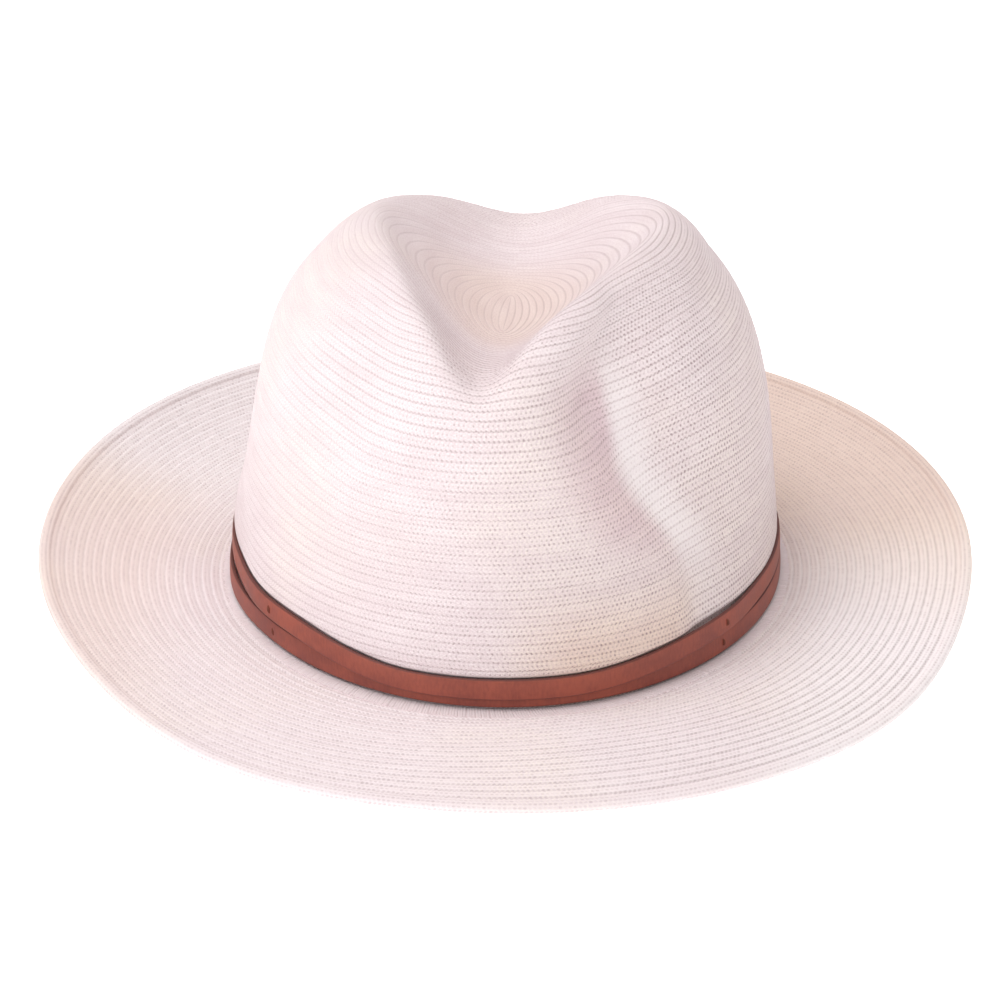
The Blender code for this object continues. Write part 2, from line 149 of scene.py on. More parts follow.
# Where the crown's rows ride high at the sides, in degrees from the front, and how uneven each row is
SIDE_FROM, SIDE_OVER = 26, 40
BACK_SHARE, BACK_FROM, BACK_OVER = 0.7, 125, 50
GOLDEN_ANGLE = 2.399
UNEVEN = ((0.10, 7), (0.08, 23))

# Marks on the braid, many of them painted light and shade: each pair is where a mark is nothing
# and where it is full. Rows are counted up the crown, and lengths run along the part's own axes.
# The gaps between loops go from faint on the lit left to bold on the shaded right, between two
# places across the crown, as painted shade.
TIP_ROWS = (38, 48)
# DENT_ROWS: where painted warm shade fills the dent's rows
DENT_ROWS = (50, 62)
GAP_SHADE_ACROSS = (-0.06, 0.07, 0.3, 1.5)
# Painted shade in the finger crease, on the flank of the right pinch that faces away from the key lamp
CREASE_LEAN = 0.26
CREASE_BEND = (0.074, 0.040)
CREASE_BEND_BY = 0.0120
CREASE_SIDE = (0.034, 0.052)
CREASE_FRONT = (-0.03, -0.06)
CREASE_TOP = (0.106, 0.088)
CREASE_FOOT = (0.034, 0.060)
# Painted highlight: a pale band on the fold beside the crease, where the gaps close
FOLD_START = (0.053, 0.058)
FOLD_END = (0.070, 0.059)
FOLD_FOOT = (0.010, 0.050)
# Painted warm shade low on the crown's front, right of the middle
FRONT_SHADE_TOP = (0.045, 0.018)
FRONT_SHADE_LEFT = (0.002, 0.030)
FRONT_SHADE_RIGHT = (0.068, 0.054)
# Row lines drawn bolder as painted shade along the dent's lip and on the crown's right
LIP_HEIGHT = (0.066, 0.092)
LIP_FRONT = (-0.035, -0.060)
BOLD_SHADE_RIGHT = (0.035, 0.065)
# Painted warm shade on the brim's back right, and painted warm light at its left edge
WARM_SHADE_BACK = (0.04, 0.17)
WARM_SHADE_TURN = 0.8
WARM_LIGHT_LEFT = (-0.085, -0.125)
WARM_LIGHT_LEFT_END = (0.07, 0.03)
# Painted light on the brim at its back left and its right
LIT_BACK = (0.0, 0.07)
LIT_LEFT = (-0.02, -0.08)
LIT_RIGHT = (0.07, 0.11)
LIT_RIGHT_END = (0.05, 0.0)
EYELET_EDGE = (1.25, 0.45)
LINE_EDGE = (0.17, 0.03)

# How strongly the gaps, the lines between rows and the darker strands are coloured
GAP_DEPTH = 0.66
CROWN_LINE = 0.04
# BOLD_LINE is painted shade on the row lines
TIP_LINE, BOLD_LINE = 0.22, 0.20
# FOLD_CLOSED closes the gaps within the fold's painted highlight
TIP_CLOSED, FOLD_CLOSED = 0.85, 0.55
# Strengths of the painted warm shade on the front, the painted highlight on the fold and the painted warm
# shade in the dent
FRONT_SHADE_TINT, FOLD_HIGHLIGHT, DENT_SHADE_TINT = 0.9, 0.6, 0.6
# Strengths of the painted light on the brim and the painted warm light at its left edge
LIT_TINT, WARM_LIGHT_TINT = 0.75, 0.55
BRIM_LINE = 0.08
# Painted light: the brim's darker strands go only part way to the shade colour, so the brim reads paler than
# the crown
BRIM_SHADE = 0.55

# Straps and keeper
STRAP_WIDTH = 0.0064
STRAP_THICKNESS = 0.0012
STRAP_CORNER = 0.00038
STRAP_CROWN = 0.00012
LOWER_STRAP_FOOT = 0.0014
UPPER_STRAP_FOOT_FRONT = 0.0044
UPPER_STRAP_FOOT_BACK = 0.0087
UPPER_STRAP_SIDE_TILT = 0.0005
STRAP_END_GAP = 0.4
STRAP_CROSSING = (15, 36)
CROSSING_SKEW = 6
STRAP_LAP = (52, 20)
KEEPER_RAMP = (7, 22)

# How far the break between crown and brim hangs below level, every thirty degrees
DROOP = (0.0019, 0.0025, 0.0026, 0.0022, 0.0014, 0.0, 0.0, 0.0, 0.0, 0.0, 0.0004, 0.0010)
DROOP_REACH = 0.024
DROOP_FROM = 0.010

# How far the crown swells over the strap's top edge, and how high up it does
CINCH_OVER = 0.0003
CINCH_LEFT = 0.0022
CINCH_ANGLE, CINCH_SPREAD = -108, 26
CINCH_BELOW, CINCH_ABOVE = 0.0012, 0.0015
CINCH_SETTLE = 0.0022
CINCH_TALL = 0.022

# How far the lower strap stands away from the crown at the left
FLARE = 0.0010
FLARE_ANGLE, FLARE_SPREAD = -72, 16

# The sleeve at the back, and the gap that pieces keep
KEEPER_STRAP_LIFT = 0.0012
KEEPER_HALF_WIDTH = 0.0060
KEEPER_WALL = 0.0008
KEEPER_CLEARANCE = 0.0006
KEEPER_STITCH = 0.0013
KEEPER_STITCHES = 6
KEEPER_STITCH_LINES = (-0.55, 0.55)
KEEPER_STITCH_FROM, KEEPER_STITCH_STEP = 0.17, 0.132
KEEPER_BEVEL = 0.94
GAP = 0.0004

# The slanted strands at the crown's foot
FOOT_STITCHES = 640
STITCH_RADIUS = 0.00075
STITCH_START = 0.0006
STITCH_REACH = 0.0036
STITCH_SPREAD = 48
STITCH_UNEVEN = 0.0008
STITCH_SLANT = (0.007, 0.006)
STITCH_SINK, STITCH_HUMP, STITCH_RISE = 0.00028, 0.00010, 0.0003

# Thread, sweatband and what is sewn to it
THREAD_RADIUS = 0.00025
THREAD_RISE = 0.00022
LEATHER_THREAD = (0.30, 0.10, 0.06)
LEATHER_THREAD_DARK = (0.12, 0.03, 0.02)
SIDE_TACK_DARK = (0.10, 0.025, 0.02)
TACK_ANGLES = {"left": -51.0, "right": 55.0}
TACK_LENGTH = 0.0022
TACK_LIFT, TACK_STEP, TACK_DROP = 0.0001, 0.006, 0.0003
SWEATBAND_HEIGHT = 0.032
SWEATBAND_WALL = 0.0010
SWEATBAND_RIM = 0.00015
SWEATBAND_FOOT = 0.0014
SWEATBAND_WAVE, SWEATBAND_WAVES = 0.00012, 31
LINING_STITCHES = 170
LINING_STITCH_HEIGHT = 0.004
SWEATBAND_LEAN = 0.0012
REED_RADIUS = 0.0008
REED_SIDES = 12
BOW_HALF_SPAN = 0.0105
BOW_HALF_HEIGHT = 0.0042
BOW_HEIGHT = 0.013
BOW_KNOT = (0.0021, 0.0008, 0.0019, 1)
BOW_RIBBON = 0.0004
BOW_WAIST = 0.26
BOW_PUFF, BOW_PLEAT = 0.0011, 0.00025
TAB_SIZE = (0.016, 0.0005, 0.010)
TAB_TURN = 24.0
TAB_CLEARANCE = 0.0009
TAB_EDGE = 0.00012
TAB_BEND = 9.0
TAB_RIPPLE, TAB_RIPPLES = 0.00012, 600

# The lights: place, width and colour. The camera's shift sets the hat on the page.
LAMPS = (
    ("key", (-1.7, -1.2, 1.0), 1.6, (0.98, 0.99, 1.03)),
    ("top", (-0.55, -0.15, 2.3), 2.0, (1.0, 0.98, 0.99)),
    ("fill", (1.3, -1.5, 1.2), 1.6, (0.95, 1.0, 1.0)),
)
ROOM_COLOUR = (1.0, 0.93, 0.925, 1)
CAMERA_SHIFT = (-0.0026, 0.0615)
FLOOR_REACH = 6

# How the hat tips as it lies on its table, in degrees
REST_PITCH = -0.86
REST_ROLL = -1.48

# Distances for merging and for finding normals, and how finely each ring is cut
MERGE = 1e-6
SMALLEST = 1e-12
NEARBY, BRIM_NEARBY = 1e-3, 2e-4
AROUND_CROWN = 480
AROUND_BRIM = 512
AROUND_STRAP = 400
AROUND_LINING = 320

MOUNTS = {mount["name"]: mount for mount in frame["record"]["mounts"]}
TILT = Euler((math.radians(REST_PITCH), math.radians(REST_ROLL), 0)).to_matrix()
OPENING = Vector((CROWN_SHIFT, 0, -BRIM_THICKNESS))
STAND = Vector(MOUNTS["head_opening"]["pos_m"]) - TILT @ OPENING
HAT = Matrix.Translation(STAND) @ TILT.to_4x4()


# ---------------------------------------------------------------- the hat's form


def fade(value):
    """0 below 0, 1 above 1, and a smooth step between."""
    value = np.clip(value, 0.0, 1.0)
    return value * value * (3 - 2 * value)


def through(value, stations, heights):
    """A smooth curve through a few points, flat beyond its ends."""
    stations, heights = np.array(stations, float), np.array(heights, float)
    slopes = np.gradient(heights, stations)
    value = np.clip(value, stations[0], stations[-1])
    i = np.clip(np.searchsorted(stations, value, side="right") - 1, 0, len(stations) - 2)
    span = stations[i + 1] - stations[i]
    s = (value - stations[i]) / span
    return (
        (1 + 2 * s) * (1 - s) ** 2 * heights[i]
        + s * (1 - s) ** 2 * span * slopes[i]
        + s * s * (3 - 2 * s) * heights[i + 1]
        + s * s * (s - 1) * span * slopes[i + 1]
    )


def round_ring(angle, heights):
    """A smooth closed curve through values spaced evenly round the hat."""
    heights = np.array(heights)
    place = (angle % (2 * math.pi)) / (2 * math.pi) * len(heights)
    i = np.floor(place).astype(int)
    s = place - i
    before, here, there, beyond = (heights[(i + k) % len(heights)] for k in (-1, 0, 1, 2))
    return (
        here
        + s * (there - before) / 2
        + s * s * (before - 2.5 * here + 2 * there - beyond / 2)
        + s**3 * (1.5 * (here - there) + (beyond - before) / 2)
    )


def oval(angle):
    """The crown's outline at the break, narrower at the front."""
    return HALF_WIDTH * np.sin(angle) * (1 - EGG * np.cos(angle)), -HALF_LENGTH * np.cos(angle)


def outward(angle):
    """The unit direction straight out from the oval."""
    x, y = np.sin(angle) / HALF_WIDTH, -np.cos(angle) / HALF_LENGTH
    length = np.hypot(x, y)
    return x / length, y / length


def leaning(angle, across, rise):
    """The outline drawn in by the wall's lean and by the dome, towards the slit at the tip."""
    x, y = oval(angle)
    scale = across * (1 - WALL_LEAN * rise)
    left = np.where(x < 0, 1 + LEFT_FULLNESS * rise, 1)
    return x * scale * left, y * scale - TIP_SLIT * (1 - scale) * np.cos(angle) + TIP_SHIFT_BACK * rise


def arc_table():
    """The dome angle for each share of the way from the crown's foot to its tip."""
    angles = np.linspace(0, math.pi / 2, 400)
    across = np.cos(angles) ** (2 / SHOULDER_ACROSS)
    rise = np.sin(angles) ** (2 / SHOULDER_UP)
    mean = (HALF_WIDTH + HALF_LENGTH) / 2
    reach = mean * across * (1 - WALL_LEAN * rise)
    steps = np.hypot(np.diff(reach), np.diff(CROWN_HEIGHT * rise))
    way = np.concatenate([[0], np.cumsum(steps)])
    return way / way[-1], angles


WAY, DOME_ANGLES = arc_table()


def dome(angle, way):
    """The crown before it is dented and pinched."""
    turn = np.interp(way, WAY, DOME_ANGLES)
    across = np.where(way < 1, np.abs(np.cos(turn)) ** (2 / SHOULDER_ACROSS), 0.0)
    rise = np.sin(turn) ** (2 / SHOULDER_UP)
    x, y = leaning(angle, across, rise)
    z = CROWN_HEIGHT * rise + SIDE_TILT * x * rise
    z = z - BACK_DROP * rise * np.maximum(0.0, y / BACK_REACH) ** BACK_POWER
    return x + CROWN_SHIFT, y, z + CROWN_FOOT * (1 - rise)


def pinched(x, y, z):
    """Pushes the wall towards the middle where the fingers pinch it."""
    for pinch in PINCHES:
        middle = through(z, PINCH_HEIGHTS, pinch["angles"])
        aside = np.degrees(np.arctan2(x, -y)) - middle
        aside = (aside + 180) % 360 - 180
        aside = aside / np.where(aside < 0, pinch["ahead"], pinch["behind"])
        above = (z - pinch["height"]) / pinch["tall"]
        radius = np.maximum(np.hypot(x, y), MERGE)
        push = pinch["depth"] * np.exp(-aside * aside - above * above)
        push = push * fade((radius - PINCH_FADE_IN) / PINCH_FADE_OVER)
        x, y = x * (1 - push / radius), y * (1 - push / radius)
    return x, y, z


def dented(x, y, z):
    """Rounds the dome off against the floor and the sides of the teardrop."""
    axis = through(y, DENT_AXIS_STATIONS, DENT_AXIS_SHIFT)
    half = through(y, DENT_STATIONS, DENT_HALF_WIDTH)
    floor = through(y, DENT_STATIONS, DENT_FLOOR) + DENT_RISE * ((x - axis) / half) ** 2
    low = np.minimum(z, floor)
    rounded = low - RIDGE_ROUNDING * np.log(
        np.exp((low - z) / RIDGE_ROUNDING) + np.exp((low - floor) / RIDGE_ROUNDING)
    )
    sunk = (z - rounded) * fade((z - DENT_FROM) / DENT_OVER)
    return x, y + DENT_PULL * sunk * fade((-y - PULL_FROM) / PULL_OVER), z - sunk


def spread(x, y, z):
    """Squares the shoulders a little."""
    top = fade((z - SPREAD_FROM) / SPREAD_OVER)
    right, left = fade(x / SPREAD_ASIDE), fade(-x / SPREAD_ASIDE)
    return x + top * (SPREAD_RIGHT * right - SPREAD_LEFT * left), y, z


def cinched(angle, x, y, z):
    """Swells the crown over the top edge of the strap that draws it in."""
    edge = upper_strap_foot(angle) + STRAP_WIDTH
    aside = (np.degrees(angle) - CINCH_ANGLE) / CINCH_SPREAD
    swell = strap_out(angle, True) + CINCH_OVER + CINCH_LEFT * np.exp(-aside * aside)
    rise = fade((z - edge + CINCH_BELOW) / CINCH_SETTLE)
    push = swell * rise * (1 - fade((z - edge - CINCH_ABOVE) / CINCH_TALL))
    away = outward(angle)
    return x + away[0] * push, y + away[1] * push, z


def crown_surface(angle, way):
    angle = (angle + math.pi) % (2 * math.pi) - math.pi
    return np.stack(cinched(angle, *spread(*dented(*pinched(*dome(angle, way))))), -1)


def row_way(angle, share):
    """How far up the crown a share of its rows comes, which sags at the front and the back."""
    degrees = np.degrees(np.abs((angle + math.pi) % (2 * math.pi) - math.pi))
    side = fade((degrees - SIDE_FROM) / SIDE_OVER)
    side = side * (1 - BACK_SHARE * fade((degrees - BACK_FROM) / BACK_OVER))
    front, sides = through(share, ROW_SHARES, WAY_AT_FRONT), through(share, ROW_SHARES, WAY_AT_SIDES)
    return np.clip(front + (sides - front) * side, 0, 1)


def wall_point(angle, out, height):
    """A point beside the foot of the crown's wall, this far outside its face."""
    rise = height / CROWN_HEIGHT
    x, y = leaning(angle, 1.0, rise)
    away = outward(angle)
    return np.stack([x + CROWN_SHIFT + away[0] * out, y + away[1] * out, height + 0 * x], -1)


def brim_width(angle):
    middle, swing = (BRIM_WIDTH_FRONT + BRIM_WIDTH_BACK) / 2, (BRIM_WIDTH_FRONT - BRIM_WIDTH_BACK) / 2
    return middle + swing * np.cos(angle)


def brim_point(angle, out, above=0.0):
    """A point on the brim's upper face, this far out from the crown."""
    width = brim_width(angle)
    share = np.maximum(0.0, (out - BRIM_FLAT) / (width - BRIM_FLAT))
    edge = round_ring(angle, EDGE_HEIGHTS)
    aside = ((np.degrees(angle) + 180) % 360 - 180 - BELLY_ANGLE) / BELLY_SPREAD
    belly = 4 * share * np.maximum(0.0, 1 - share) * BRIM_BELLY * np.exp(-aside * aside)
    height = BRIM_DIP * share + (edge - BRIM_DIP) * share**BRIM_CURL + belly
    x, y = oval(angle)
    away = outward(angle)
    return np.stack([x + CROWN_SHIFT + away[0] * out, y + away[1] * out, height + above], -1)


def lifted(surface, angle, across, lift, side):
    """A point of surface(angle, across), moved off it along its normal; side turns the normal round."""
    stride = BRIM_NEARBY if surface is brim_point else NEARBY
    before = np.where(across - stride < 0, across, across - stride)
    tangent_round = surface(angle + NEARBY, across) - surface(angle - NEARBY, across)
    tangent_across = surface(angle, across + stride) - surface(angle, before)
    normal = np.cross(tangent_round, tangent_across) * side
    length = np.maximum(np.linalg.norm(normal, axis=-1, keepdims=True), SMALLEST)
    return surface(angle, across) + normal / length * np.asarray(lift)[..., None]


def near_keeper(angle):
    return 1 - fade((180 - np.degrees(np.abs(angle)) - KEEPER_RAMP[0]) / KEEPER_RAMP[1])


def lower_strap_foot(angle):
    """The lower strap lifts a little where the keeper passes under it."""
    return LOWER_STRAP_FOOT + KEEPER_STRAP_LIFT * near_keeper(angle)


def upper_strap_foot(angle):
    """Low at the front, where the upper strap laps the lower one, and clear of it elsewhere."""
    start = STRAP_CROSSING[0] + CROSSING_SKEW * np.sin(angle)
    aside = fade((np.degrees(np.abs(angle)) - start) / STRAP_CROSSING[1])
    side = UPPER_STRAP_FOOT_BACK - UPPER_STRAP_SIDE_TILT * np.sin(angle)
    rise = (side - UPPER_STRAP_FOOT_FRONT) * aside
    return UPPER_STRAP_FOOT_FRONT + rise + KEEPER_STRAP_LIFT * near_keeper(angle)


def strap_out(angle, upper):
    """How far a strap's inner face stands off the crown."""
    lapped = 1 - fade((np.degrees(np.abs(angle)) - STRAP_LAP[0]) / STRAP_LAP[1]) if upper else 0.0
    keeper = (KEEPER_WALL + KEEPER_CLEARANCE) * near_keeper(angle)
    return GAP + (STRAP_THICKNESS + GAP) * lapped + keeper


def sweatband_out(height):
    """How far the sweatband's outer face stands inside the crown's outer face."""
    return -(COLLAR_BACK + BRIM_THICKNESS + GAP) - SWEATBAND_LEAN * height / SWEATBAND_HEIGHT


# ---------------------------------------------------------------- mesh work


def read(items, field, width, kind=float):
    values = np.empty(len(items) * width, kind)
    items.foreach_get(field, values)
    return values.reshape(-1, width) if width > 1 else values


def on_table(points):
    """Lets points near the break droop, tips them with the hat and sets them down."""
    x, y, z = points[..., 0], points[..., 1], points[..., 2]
    angle = np.arctan2((x - CROWN_SHIFT) / HALF_WIDTH, -y / HALF_LENGTH)
    radius = np.hypot((x - CROWN_SHIFT) / HALF_WIDTH, y / HALF_LENGTH) - 1
    away = (radius * HALF_WIDTH / DROOP_REACH) ** 2 + (np.maximum(0.0, z - DROOP_FROM) / DROOP_REACH) ** 2
    sunk = points.copy()
    sunk[..., 2] -= round_ring(angle, DROOP) * np.exp(-away)
    return sunk @ np.array(TILT).T + np.array(STAND)


def bent_grid(name, place, around, rows, stitch, seed=0):
    """A grid bent by place(round share, line), joined where its edges meet.

    rows gives each line's place in the order of sewing. The UV map counts stitches
    along a row and rows across them, with a fresh start to the stitches in each row.
    """
    bm = bmesh.new()
    bm.loops.layers.uv.new("UVMap")
    bmesh.ops.create_grid(bm, x_segments=around, y_segments=len(rows) - 1, size=1)
    mesh = bpy.data.meshes.new(name)
    bm.to_mesh(mesh)
    flat = read(mesh.vertices, "co", 3)
    i = np.rint((flat[:, 0] + 1) / 2 * around).astype(int)
    k = np.rint((flat[:, 1] + 1) / 2 * (len(rows) - 1)).astype(int)
    points = on_table(place(i / around, k))
    mesh.vertices.foreach_set("co", points.ravel())
    table = np.empty((len(rows), around + 1, 3))
    table[k, i] = points
    steps = np.linalg.norm(np.diff(table, axis=1), axis=2)
    along = np.concatenate([np.zeros((len(rows), 1)), np.cumsum(steps, axis=1)], axis=1)
    corner = read(mesh.loops, "vertex_index", 1, np.int32)
    row = np.floor(rows[k[corner]].reshape(-1, 4).mean(axis=1)).astype(int)
    row = np.repeat(row - row.min(), 4)
    length = np.bincount(row, along[k[corner], -1]) / np.maximum(np.bincount(row), 1)
    stitches = np.maximum(np.rint(length / stitch), 1)
    start = np.random.default_rng(seed).random(len(stitches))
    share = along[k[corner], i[corner]] / np.maximum(along[k[corner], -1], MERGE)
    chart = np.stack([share * stitches[row] + start[row], rows[k[corner]]], -1)
    mesh.uv_layers["UVMap"].data.foreach_set("uv", chart.ravel().astype(np.float32))
    bm.clear()
    bm.from_mesh(mesh)
    bmesh.ops.remove_doubles(bm, verts=bm.verts, dist=MERGE)
    rims = [edge for edge in bm.edges if edge.is_boundary]
    if rims:
        bmesh.ops.holes_fill(bm, edges=rims, sides=0)
    bmesh.ops.recalc_face_normals(bm, faces=bm.faces)
    bm.to_mesh(mesh)
    bm.free()
    return mesh


def add_piece(name, mesh, finish, slot, *nodes, sharp=75):
    """Puts a finished mesh in the scene, riding with the hat and standing for its solids."""
    mesh.name = name
    mesh.shade_smooth()
    mesh.set_sharp_from_angle(angle=math.radians(sharp))
    mesh.materials.clear()
    mesh.materials.append(finish)
    piece = bpy.data.objects.new(name, mesh)
    bpy.context.scene.collection.objects.link(piece)
    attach(piece, "root")
    if nodes:
        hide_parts(*nodes)
    return piece


def threads(name, lines, radius, sides=1):
    """Round threads along lines of points, as one mesh."""
    curve = bpy.data.curves.new(name, "CURVE")
    curve.dimensions = "3D"
    curve.bevel_depth = radius
    curve.bevel_resolution = sides
    curve.use_fill_caps = True
    for line in lines:
        spline = curve.splines.new("POLY")
        spline.points.add(len(line) - 1)
        packed = np.concatenate([on_table(np.asarray(line, float)), np.ones((len(line), 1))], axis=1)
        spline.points.foreach_set("co", packed.ravel())
    return mesh_of_curve(curve)


def mesh_of_curve(curve):
    """A curve as a mesh with its caps joined to its sides."""
    holder = bpy.data.objects.new(curve.name, curve)
    bpy.context.scene.collection.objects.link(holder)
    graph = bpy.context.evaluated_depsgraph_get()
    mesh = bpy.data.meshes.new_from_object(holder.evaluated_get(graph))
    bpy.data.objects.remove(holder)
    bpy.data.curves.remove(curve)
    bm = bmesh.new()
    bm.from_mesh(mesh)
    bmesh.ops.remove_doubles(bm, verts=bm.verts, dist=MERGE)
    bmesh.ops.recalc_face_normals(bm, faces=bm.faces)
    bm.to_mesh(mesh)
    bm.free()
    return mesh


def uneven(angle, row, seed):
    """A slow, small unevenness along each row, about 1."""
    phase = row * GOLDEN_ANGLE + seed
    (slow, waves), (quick, ripples) = UNEVEN
    return 1 + slow * np.sin(waves * angle + phase) + quick * np.sin(ripples * angle + 1.7 * phase)


# ---------------------------------------------------------------- materials


class Finish:
    """A material as it is mixed, with short names for the nodes that it uses."""

    def __init__(self, name, roughness, specular):
        self.material = bpy.data.materials.new(name)
        self.material.use_nodes = True
        self.tree = self.material.node_tree
        self.shader = self.tree.nodes["Principled BSDF"]
        self.shader.inputs["Roughness"].default_value = roughness
        self.shader.inputs["Specular IOR Level"].default_value = specular

    def fill(self, socket, value):
        """Links a socket or sets a plain value. None leaves the socket as it is."""
        if isinstance(value, bpy.types.NodeSocket):
            self.tree.links.new(value, socket)
        elif value is not None:
            socket.default_value = value

    def put(self, kind, *values, **settings):
        """Adds a node and gives its first output. The values fill its inputs in order."""
        made = self.tree.nodes.new("ShaderNode" + kind)
        for name, value in settings.items():
            setattr(made, name, value)
        for socket, value in zip(made.inputs, values):
            self.fill(socket, value)
        return made.outputs[0]

    def calc(self, operation, first, *others):
        """One sum, or a chain of the same sum taken from left to right."""
        if not others:
            return self.put("Math", first, operation=operation)
        for other in others:
            first = self.put("Math", first, other, operation=operation)
        return first

    def times(self, *values):
        return self.calc("MULTIPLY", *values)

    def plus(self, *values):
        return self.calc("ADD", *values)

    def less(self, amount, share=1.0):
        """1 less a share of the amount."""
        return self.calc("SUBTRACT", 1.0, self.times(amount, share))

    def either(self, first, second):
        return self.calc("MAXIMUM", first, second)

    def step(self, value, low, high):
        """0 below low, 1 above high, smooth between. With high the smaller it falls instead."""
        edges = (low, high, 0.0, 1.0) if high > low else (high, low, 1.0, 0.0)
        return self.put("MapRange", value, *edges, interpolation_type="SMOOTHSTEP")

    def tint(self, amount, first, second, mode="MIX"):
        """Mixes two colours."""
        made = self.tree.nodes.new("ShaderNodeMix")
        made.data_type = "RGBA"
        made.blend_type = mode
        self.fill(made.inputs[0], amount)
        for socket, colour in ((made.inputs[6], first), (made.inputs[7], second)):
            plain = not isinstance(colour, bpy.types.NodeSocket)
            self.fill(socket, (*colour, 1) if plain else colour)
        return made.outputs[2]

    def spot(self):
        """The place on the piece, in metres."""
        return self.tree.nodes.new("ShaderNodeTexCoord").outputs["Object"]

    def chart(self):
        """Stitches along the row, and rows across."""
        return self.put("UVMap", uv_map="UVMap")

    def parts(self, vector):
        """The three numbers of a vector."""
        split = self.tree.nodes.new("ShaderNodeSeparateXYZ")
        self.fill(split.inputs[0], vector)
        return split.outputs

    def noise(self, place, scale, detail, roughness, stretch=None):
        if stretch:
            place = self.put("Mapping", place, None, None, stretch)
        return self.put("TexNoise", place, None, scale, detail, roughness)

    def dress(self, colour, height=None, distance=None, strength=None, roughness=None):
        """Links colour, bump and roughness to the shader, and gives the finished material."""
        self.fill(self.shader.inputs["Base Color"], colour)
        self.fill(self.shader.inputs["Roughness"], roughness)
        if height is not None:
            bump = self.tree.nodes.new("ShaderNodeBump")
            self.fill(bump.inputs["Strength"], strength)
            self.fill(bump.inputs["Distance"], distance)
            self.fill(bump.inputs["Height"], height)
            self.fill(self.shader.inputs["Normal"], bump.outputs[0])
        return self.material


def eyelets(braid, u, v, line, shift, half_sizes, least, swing):
    """The small gaps that repeat once a stitch along a line of each row, some fainter by chance."""
    moved = braid.plus(u, shift)
    long = braid.calc("SUBTRACT", braid.calc("FRACT", moved), 0.5)
    tall = braid.calc("SUBTRACT", braid.calc("FRACT", braid.plus(v, 0.5 - line)), 0.5)
    squares = [
        braid.calc("POWER", braid.calc("DIVIDE", side, half), 2)
        for side, half in zip((long, tall), half_sizes)
    ]
    inside = braid.step(braid.calc("SQRT", braid.plus(*squares)), *EYELET_EDGE)
    row = braid.calc("FLOOR", v if line > 0.5 else braid.plus(v, 0.5))
    which = braid.put("CombineXYZ", braid.calc("FLOOR", moved), row)
    luck = braid.put("TexWhiteNoise", which, noise_dimensions="2D")
    return braid.times(inside, braid.plus(least, braid.times(luck, swing)))


def crown_marks(braid, settings, place, v, colour, gaps):
    """Paints shade in the crease, a highlight on the fold and warm shade on the front and in the dent; sets
    how bold gaps and lines are.
    """
    x, y, z = place
    tip = braid.step(v, *TIP_ROWS)
    # The gaps fade on the lit left and grow bold on the shaded right: painted shade
    gaps = braid.times(gaps, braid.less(tip, TIP_CLOSED), braid.put("MapRange", x, *GAP_SHADE_ACROSS))
    bend = braid.times(braid.step(z, *CREASE_BEND), CREASE_BEND_BY)
    across = braid.calc("SUBTRACT", braid.plus(x, braid.times(z, CREASE_LEAN)), bend)
    front = braid.step(y, *CREASE_FRONT)
    near = braid.times(front, braid.step(z, *CREASE_TOP))
    beyond = braid.step(across, *FOLD_START)
    # The crease mask is painted shade, and the fold mask beside it a painted highlight
    crease = braid.times(braid.step(across, *CREASE_SIDE), braid.less(beyond), near)
    crease = braid.times(crease, braid.step(z, *CREASE_FOOT))
    fold = braid.times(beyond, braid.step(across, *FOLD_END), near, braid.step(z, *FOLD_FOOT))
    # This mask is painted warm shade low on the front, right of the middle
    warm = braid.times(braid.step(z, *FRONT_SHADE_TOP), braid.step(x, *FRONT_SHADE_LEFT), front, braid.step(x, *FRONT_SHADE_RIGHT))
    # Painted tints: warm shade low on the front, shade in the crease, a highlight on the fold, warm shade in
    # the dent
    for amount, tone, mode in (
        (braid.times(warm, FRONT_SHADE_TINT), settings.painted_warm_colour, "MULTIPLY"),
        (crease, settings.crease_shade_colour, "MULTIPLY"),
        (braid.times(fold, FOLD_HIGHLIGHT), settings.lit_colour, "MIX"),
        (braid.times(braid.step(v, *DENT_ROWS), DENT_SHADE_TINT), settings.painted_warm_colour, "MULTIPLY"),
    ):
        colour = braid.tint(amount, colour, tone, mode)
    # The gaps close within the fold's painted highlight
    gaps = braid.times(gaps, braid.less(fold, FOLD_CLOSED))
    # The row lines are drawn bolder as painted shade along the dent's lip and on the right
    lip = braid.times(braid.step(z, *LIP_HEIGHT), braid.step(y, *LIP_FRONT))
    bold = braid.either(lip, braid.step(x, *BOLD_SHADE_RIGHT))
    return colour, gaps, braid.plus(CROWN_LINE, braid.times(tip, TIP_LINE), braid.times(bold, BOLD_LINE))


def brim_marks(braid, settings, place, colour):
    """Paints warm shade on the brim at its back right and warm light at its left edge, and paints light on it
    at its back left and its right.
    """
    x, y, _ = place
    # Painted warm shade at the back right, then painted warm light at the left edge
    painted_warm_mask = braid.step(braid.plus(y, braid.times(x, WARM_SHADE_TURN)), *WARM_SHADE_BACK)
    left = braid.times(braid.step(x, *WARM_LIGHT_LEFT), braid.step(y, *WARM_LIGHT_LEFT_END))
    # Masks of painted light at the brim's back left and its right
    back = braid.times(braid.step(y, *LIT_BACK), braid.step(x, *LIT_LEFT))
    right = braid.times(braid.step(x, *LIT_RIGHT), braid.step(y, *LIT_RIGHT_END))
    colour = braid.tint(braid.times(braid.either(back, right), LIT_TINT), colour, settings.lit_colour)
    painted_warm_mask = braid.either(painted_warm_mask, braid.times(left, WARM_LIGHT_TINT))
    return braid.tint(painted_warm_mask, colour, settings.painted_warm_colour, "MULTIPLY")


